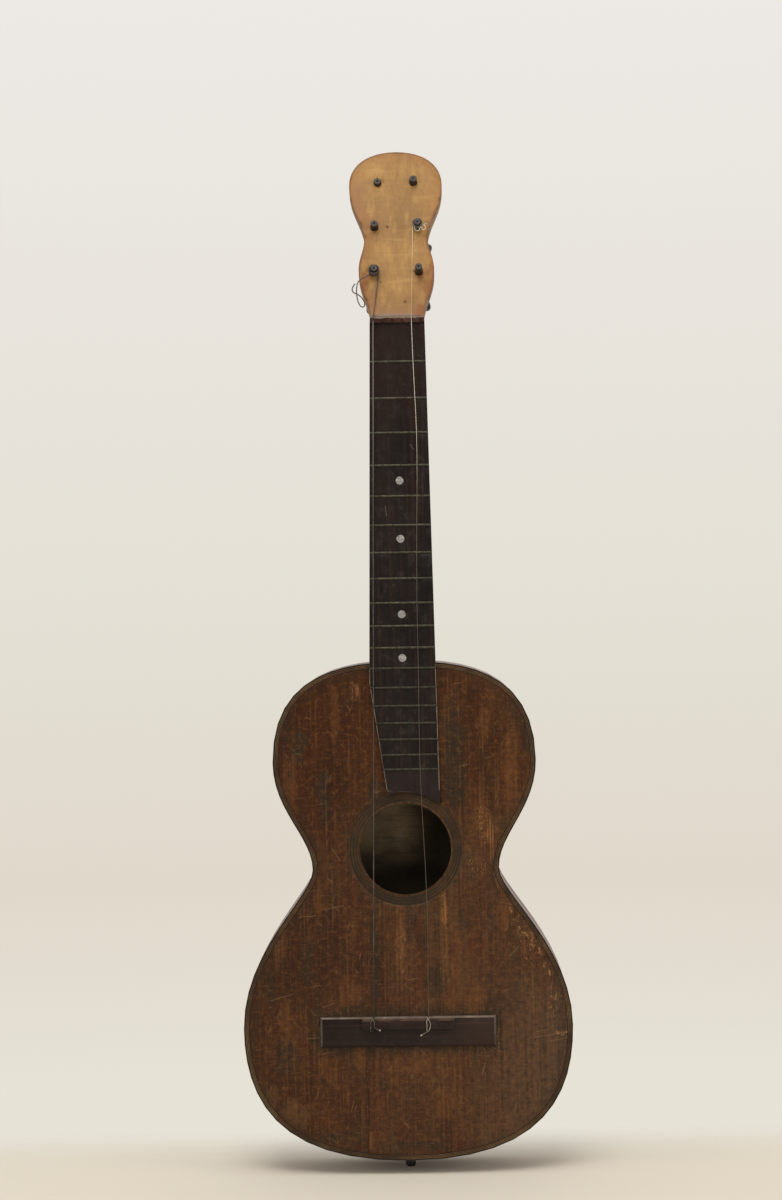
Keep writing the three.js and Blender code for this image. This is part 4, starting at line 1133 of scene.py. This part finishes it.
def turned(shape, profile):
    """Faces of a turned body: profile is (radius, place along the peg)."""
    rings = []
    for radius, along in profile:
        if radius == 0:
            rings.append([shape.verts.new((0, along, 0))] * peg_sides)
            continue
        angles = [2 * math.pi * i / peg_sides for i in range(peg_sides)]
        rings.append([
            shape.verts.new((radius * math.cos(angle), along, radius * math.sin(angle)))
            for angle in angles
        ])
    for near, far in zip(rings, rings[1:]):
        join(shape, near, far)


def leaf_half(share):
    """Half the paddle's width at a share of its length, from the stem to the crown."""
    foot = 0.30 + 0.70 * math.sin(min(1, share / widest_at) * math.pi / 2) ** 1.5
    beyond = max(0.0, (share - widest_at) / (1 - widest_at))
    return paddle_width / 2 * foot * math.sqrt(max(0.0, 1 - beyond ** 2.3))


def leaf_thickness(across, share):
    """Half the paddle's thickness: dished in the middle, and round towards its edge."""
    round_edge = max(0.0, 1 - abs(across) ** 6) ** 0.5
    end_edge = max(0.0, 1 - share ** 9) ** 0.5
    dish = 1 - 0.38 * max(0.0, 1 - (across / 0.8) ** 2) * math.sin(math.pi * share) ** 0.8
    return paddle_thickness / 2 * dish * round_edge * end_edge


def add_paddle(shape, foot, rows=18, columns=12):
    """The leaf as a closed grid: its two faces meet at the rim."""
    shares = [math.sin(r / rows * math.pi / 2) for r in range(rows + 1)]
    places = [math.sin((c / columns - 0.5) * math.pi) for c in range(columns + 1)]
    sides = [[[shape.verts.new((
        leaf_half(share) * across, foot + share * paddle_length,
        way * leaf_thickness(across, share),
    )) for across in places] for share in shares] for way in (1, -1)]
    for way, grid in zip((1, -1), sides):
        for r in range(rows):
            for c in range(columns):
                corners = [grid[r][c], grid[r][c + 1], grid[r + 1][c + 1], grid[r + 1][c]]
                shape.faces.new(corners[::way])


print("peg tips of", [round(peg_tip(number) / mm, 1) for number in peg_turns], "mm")

# %% Turned pegs


def drill_string_hole(piece, along):
    """Bores the peg crosswise: a rod is taken away from it, and doesn't stay in the scene."""
    shape = bmesh.new()
    across = Matrix.Translation((0, along, 0)) @ Matrix.Rotation(math.radians(90), 4, "Y")
    bmesh.ops.create_cone(
        shape, cap_ends=True, segments=16, radius1=string_hole_radius,
        radius2=string_hole_radius, depth=4 * tip_radius, matrix=across,
    )
    drill = mesh_piece(shape, "drill", smooth_to=None)
    for thing in (drill, piece):
        scene_objects.link(thing)
    bore = piece.modifiers.new("string_hole", "BOOLEAN")
    bore.operation, bore.solver, bore.object = "DIFFERENCE", "EXACT", drill
    seen = piece.evaluated_get(bpy.context.evaluated_depsgraph_get())
    piece.data = bpy.data.meshes.new_from_object(seen)
    piece.modifiers.clear()
    scene_objects.unlink(piece)
    rod = drill.data
    bpy.data.objects.remove(drill)
    bpy.data.meshes.remove(rod)


def make_peg(number):
    tip = peg_tip(number)
    collar_front = shaft_length - tip
    collar_back = collar_front + collar_length
    stem_back = collar_back + stem_length
    hole = -tip + string_hole_inset

    def shaft(along):
        return tip_radius + (along + tip) * peg_taper
    shape = bmesh.new()
    turned(shape, [
        (0, -tip + 1.3 * mm), (0.75 * mm, -tip + 0.15 * mm), (1.0 * mm, -tip),
        (tip_radius - 0.7 * mm, -tip), (tip_radius - 0.15 * mm, -tip + 0.25 * mm),
        (tip_radius, -tip + 0.8 * mm), (shaft(hole), hole), (shaft(collar_front), collar_front),
        (collar_radius - 0.8 * mm, collar_front + 0.1 * mm),
        (collar_radius, collar_front + 0.7 * mm), (collar_radius, collar_back - 0.7 * mm),
        (collar_radius - 0.9 * mm, collar_back - 0.1 * mm),
        (tip_radius + 0.7 * mm, collar_back + 0.5 * mm), (tip_radius, collar_back + 2.2 * mm),
        (tip_radius + 0.5 * mm, stem_back + 0.6 * mm), (0, stem_back + 1.2 * mm),
    ])
    add_paddle(shape, stem_back - 1.3 * mm)
    bmesh.ops.remove_doubles(shape, verts=shape.verts, dist=hair)
    bmesh.ops.recalc_face_normals(shape, faces=shape.faces)
    piece = mesh_piece(shape, f"turned_peg_{number}", peg_wood, peg_end, smooth_to=50)
    for face in piece.data.polygons:
        facing_out = face.normal.y < -0.5 and face.center.y < -tip + 0.4 * mm
        at_dimple = math.hypot(face.center.x, face.center.z) < 0.8 * mm
        face.material_index = 1 if facing_out and not at_dimple else 0
    drill_string_hole(piece, hole)
    piece.matrix_world = peg_place(number)
    return seat(piece, f"peg_body_{number}", "ebonised_wood", f"peg_{number}")


for number in peg_turns:
    peg = make_peg(number)
print("the last peg has", len(peg.data.polygons), "faces")

# %% [markdown]
# The two strings that are left are wound on their pegs, cross the nut and end in a knot at
# the bridge. A winding is a helix with its turns side by side. It turns with its peg, while
# the span stays with the instrument, and the two meet where the helix leaves the peg.

# %% Strings on their pegs
turn_gap, per_turn = 0.55 * mm, 24


def winding(number, side, diameter, cad_turns, turns, name, slot, material):
    """A helix round a peg that starts in its string hole; its last point is given back."""
    tip = peg_tip(number)
    radius = tip_radius + tip * peg_taper + 0.3 * mm + diameter / 2
    start = -tip + string_hole_inset
    end = start + cad_turns * (diameter + turn_gap)
    place = peg_seat(number)
    points = [place @ Vector((0, start, 0))]
    steps = turns * per_turn
    for i in range(steps + 1):
        turn = 2 * math.pi * (steps - i) / per_turn
        along = start + (end - start) * i / steps
        points.append(place @ Vector((
            side * radius * math.cos(turn), along, radius * math.sin(turn),
        )))
    coil = strand(name, points, diameter, material, smooth=False)
    seat(coil, f"peg_body_{number}", slot, f"string_{number}_winding")
    return points[-1]


bass_diameter, treble_diameter, treble_seen = 1.0 * mm, 0.8 * mm, 0.44 * mm
bass_top = winding(6, 1, bass_diameter, 4, 6, "bass_winding", "wound_string", wound_wire)
# The treble coil's dark gut is partly painted shade.
treble_top = winding(2, -1, treble_diameter, 3, 5, "treble_winding", "gut_string", dark_gut)
treble_curl = strand("treble_curl", [
    pivots["peg_body_2"] + Vector(point) * mm for point in (
        (-2.6, -8.6, -1.2), (-1.4, -8.9, -4.0), (0.8, -9.3, -4.6), (2.2, -9.6, -2.6),
        (3.4, -9.6, -1.8), (4.2, -9.4, -3.4), (5.4, -9.2, -3.8), (6.6, -9.2, -2.2),
        (6.3, -9.1, -0.8), (5.5, -9.1, -0.1), (6.6, -9.1, 0.9), (8.0, -9.2, 1.5),
    )
], 0.5 * mm, pale_gut)
seat(treble_curl, "peg_body_2", "gut_string")
for end in (bass_top, treble_top):
    print("a winding leaves its peg at", [round(part / mm, 1) for part in end])

# %% Strings from peg to bridge
block_front = bridge_high.z - 0.8 * mm
tie_hole_y = -5.6 * mm
nut_notch_y = -4.95 * mm


def string_line(node, low):
    """The middle of a CAD string, ring by ring, above the height low."""
    vertices = frame["nodes"][node].data.vertices
    points = {tuple(round(part, 6) for part in vert.co) for vert in vertices}
    rings = []
    for point in sorted(points, key=lambda point: -point[2]):
        if not rings or rings[-1][-1][2] - point[2] > 0.5 * mm:
            rings.append([])
        rings[-1].append(point)
    middles = [Vector([sum(part) / len(ring) for part in zip(*ring)]) for ring in rings]
    return [middle for middle in middles if middle.z > low]


def span(node, name, start, diameter, slot, material):
    line = string_line(node, bridge_high.z + 2 * mm)
    below_nut = [point for point in line if point.z < nut_high.z + 0.2 * mm]
    x = below_nut[-1].x
    route = [
        start, Vector((below_nut[0].x, nut_notch_y, nut_high.z)),
        *[point for point in below_nut if point.z < nut_high.z - 1 * mm],
        Vector((x, bridge_low.y - 0.15 * mm, block_front + 2.4 * mm)),
        Vector((x, -7.4 * mm, block_front + 1.0 * mm)),
        Vector((x, tie_hole_y, block_front + 0.2 * mm)),
        Vector((x, tie_hole_y, block_front - 4 * mm)),
    ]
    seat(strand(name, route, diameter, material, smooth=False), "instrument", slot, node)
    return len(route)


bass_points = span("string_6", "bass_string", bass_top, bass_diameter, "wound_string", wound_wire)
treble_points = span(
    "string_2", "treble_string", treble_top, treble_seen, "gut_string", soiled_gut,
)
print("the strings run through", bass_points, "and", treble_points, "points")

# %% [markdown]
# At the bridge each string comes out behind the tie block, goes back over it and is wrapped
# round itself, and its clipped end carries a small melted or knotted bead.

# %% Knots at the bridge
block_back = bridge_high.z - 10 * mm
lift = bridge_low.y - 0.35 * mm
hole = (tie_hole_y - lift) / mm
bass_x, treble_x = -28 * mm, 16.8 * mm


def from_block(x, across, deep, up):
    """A place in mm from a string's own point on top of the tie block's lower edge."""
    return Vector((x + across * mm, lift + deep * mm, block_back + up * mm))


def knot(name, x, diameter, slot, material, route):
    points = [from_block(x, *place) for place in route]
    seat(strand(name, points, diameter, material), "instrument", slot)


knot("bass_knot", bass_x, 0.38 * mm, "wound_string", dark_gut, [
    (0, hole, 1), (-1.2, hole, -0.8), (-2.6, 1, -0.6), (-2.6, 0, 2), (-1.8, 0, 8.2),
    (0.4, -0.9, 9.6), (1.6, 0.6, 10.1), (-0.4, 1.9, 10.4), (-1.6, 0.2, 9.8), (0.2, -0.3, 7.6),
    (0.6, 0, 3), (2.4, -0.1, 1.2), (4.4, 0.1, 0.2),
])
knot("treble_knot", treble_x, 0.42 * mm, "gut_string", gut, [
    (0, hole, 1), (-0.9, hole, -0.9), (-1.6, 1, -0.6), (-1.4, 0, 2), (-1.0, -0.2, 8.8),
    (0.9, -0.2, 9.8), (0.8, 1.6, 10.1), (-1.2, 1.0, 10.0), (-0.2, -0.3, 8.4), (1.4, -0.1, 4.8),
    (0.2, 0.2, -0.4), (-2.4, hole, -2.6), (-5.6, hole + 0.5, -4.6),
])


def bead(name, place, radius, slot):
    shape = bmesh.new()
    bmesh.ops.create_icosphere(shape, subdivisions=3, radius=radius)
    for vert in shape.verts:
        vert.co *= 1 + 0.22 * mathutils.noise.noise(vert.co / (0.6 * mm) + place / mm)
    piece = mesh_piece(shape, name, gut, smooth_to=180)
    piece.location = place
    seat(piece, "instrument", slot)


bead("bass_bead", from_block(bass_x, 4.8, -0.2, 0.2), 0.7 * mm, "wound_string")
bead("treble_bead", from_block(treble_x, -6.2, hole + 0.2, -5), 0.85 * mm, "gut_string")
print("knots end at", round(block_back / mm, 1), "mm")

# %% [markdown]
# The stage is a pale floor that fades into a pale wall, which is the world's colour. The
# floor takes the shadow. It turns clear behind the instrument and with distance, so that no
# horizon shows; from behind, where it ends is only a soft change of tone.

# %% Floor
floor_radius, solid_within, clear_beyond = 1.6, 0.25, 1.25
shape = bmesh.new()
bmesh.ops.create_circle(shape, cap_ends=True, segments=96, radius=floor_radius)
paint = Finish("floor_paint", roughness=0.9, specular=0.05)
floor = mesh_piece(shape, "floor", paint.material, smooth_to=None)
floor.location = (0, 40 * mm, cad_box[0].z - 0.2 * mm)
scene_objects.link(floor)
near = paint.step(paint.vector("LENGTH", paint.place), clear_beyond, solid_within)
solid_part = paint.times(near, paint.along("Y", 175, 10))
paint.shader.inputs["Base Color"].default_value = tone(222, 214, 199)
clear = paint.node("BsdfTransparent")
mixed = paint.node("MixShader", {0: solid_part, 1: clear.outputs[0], 2: paint.shader.outputs[0]})
paint.tree.links.new(mixed.outputs[0], paint.tree.nodes["Material Output"].inputs[0])
print("floor at", round(floor.location.z / mm, 1), "mm")

# %% World
world = bpy.data.worlds.new("pale_wall")
bpy.context.scene.world = world
world.use_nodes = True
world.node_tree.nodes.clear()
wall = Net(world.node_tree)
ambient = 0.55

direction = wall.node("SeparateXYZ", {0: wall.node("TexCoord").outputs["Generated"]}).outputs
wall_colour = wall.ramp(wall.blend(direction["Z"], -0.2, 0.24), [
    (0.0, (231, 227, 215)), (0.07, (230, 226, 214)), (0.23, (224, 216, 203)),
    (0.45, (228, 224, 213)), (1.0, (238, 234, 231)),
])
ray = wall.node("LightPath").outputs
in_front = wall.blend(direction["Y"], -0.9, -0.2, 0.12, 0.85)
seen = wall.maths("MAXIMUM", ray["Is Camera Ray"], ray["Is Transmission Ray"])
mirrored = wall.node("Mix", {0: ray["Is Glossy Ray"], 2: ambient, 3: in_front}).outputs[0]
strength = wall.node("Mix", {0: seen, 2: mirrored, 3: 1.0}).outputs[0]
lit = wall.layer((1, 0.977, 0.94, 1), wall_colour, seen)
light = wall.node("Background", {"Color": lit, "Strength": strength})
wall.tree.links.new(light.outputs[0], wall.node("OutputWorld").inputs[0])
print("world has", len(wall.tree.nodes), "nodes")

# %% [markdown]
# The light is that of a museum studio: broad, soft, and mostly from above, so that frets and
# the bridge's top side catch it. Lamps stand well outside the angle at which the flat front
# would mirror them towards the camera.

# %% Lamps
warm_white = (1, 0.98, 0.95)
middle = (0, 0, -0.27)
lamps = {  # place, size and watts of each, and the point that it shines at
    "top_lamp": ((-0.2, -1.5, 1.8), (1.3, 1.3), 34, middle),
    "ceiling_lamp": ((0, -0.5, 2.2), (2.2, 0.25), 7, (0, 0, -0.7)),
    "low_lamp": ((0.9, -2.0, -0.58), (0.5, 0.2), 3.5, (0, 0, -0.6)),
    "left_lamp": ((-2.2, -1.5, 0.1), (1.4, 1.4), 15, middle),
    "right_lamp": ((2.2, -1.4, 0.0), (1.4, 1.4), 17, middle),
    "back_lamp": ((0.3, 2.3, 1.3), (1.6, 1.6), 3, middle),
}
for name, (place, size, watts, target) in lamps.items():
    light = bpy.data.lights.new(name, "AREA")
    light.shape = "RECTANGLE"
    light.size, light.size_y = size
    light.energy = watts
    light.color = warm_white
    holder = bpy.data.objects.new(name, light)
    holder.location = place
    holder.rotation_mode = "QUATERNION"
    holder.rotation_quaternion = (Vector(target) - Vector(place)).to_track_quat("-Z", "Y")
    scene_objects.link(holder)
print("lamps:", len(lamps))

# %% [markdown]
# Last, colours are shown as they are, without a film look.

# %% Colour view
bpy.context.scene.view_settings.view_transform = "Standard"
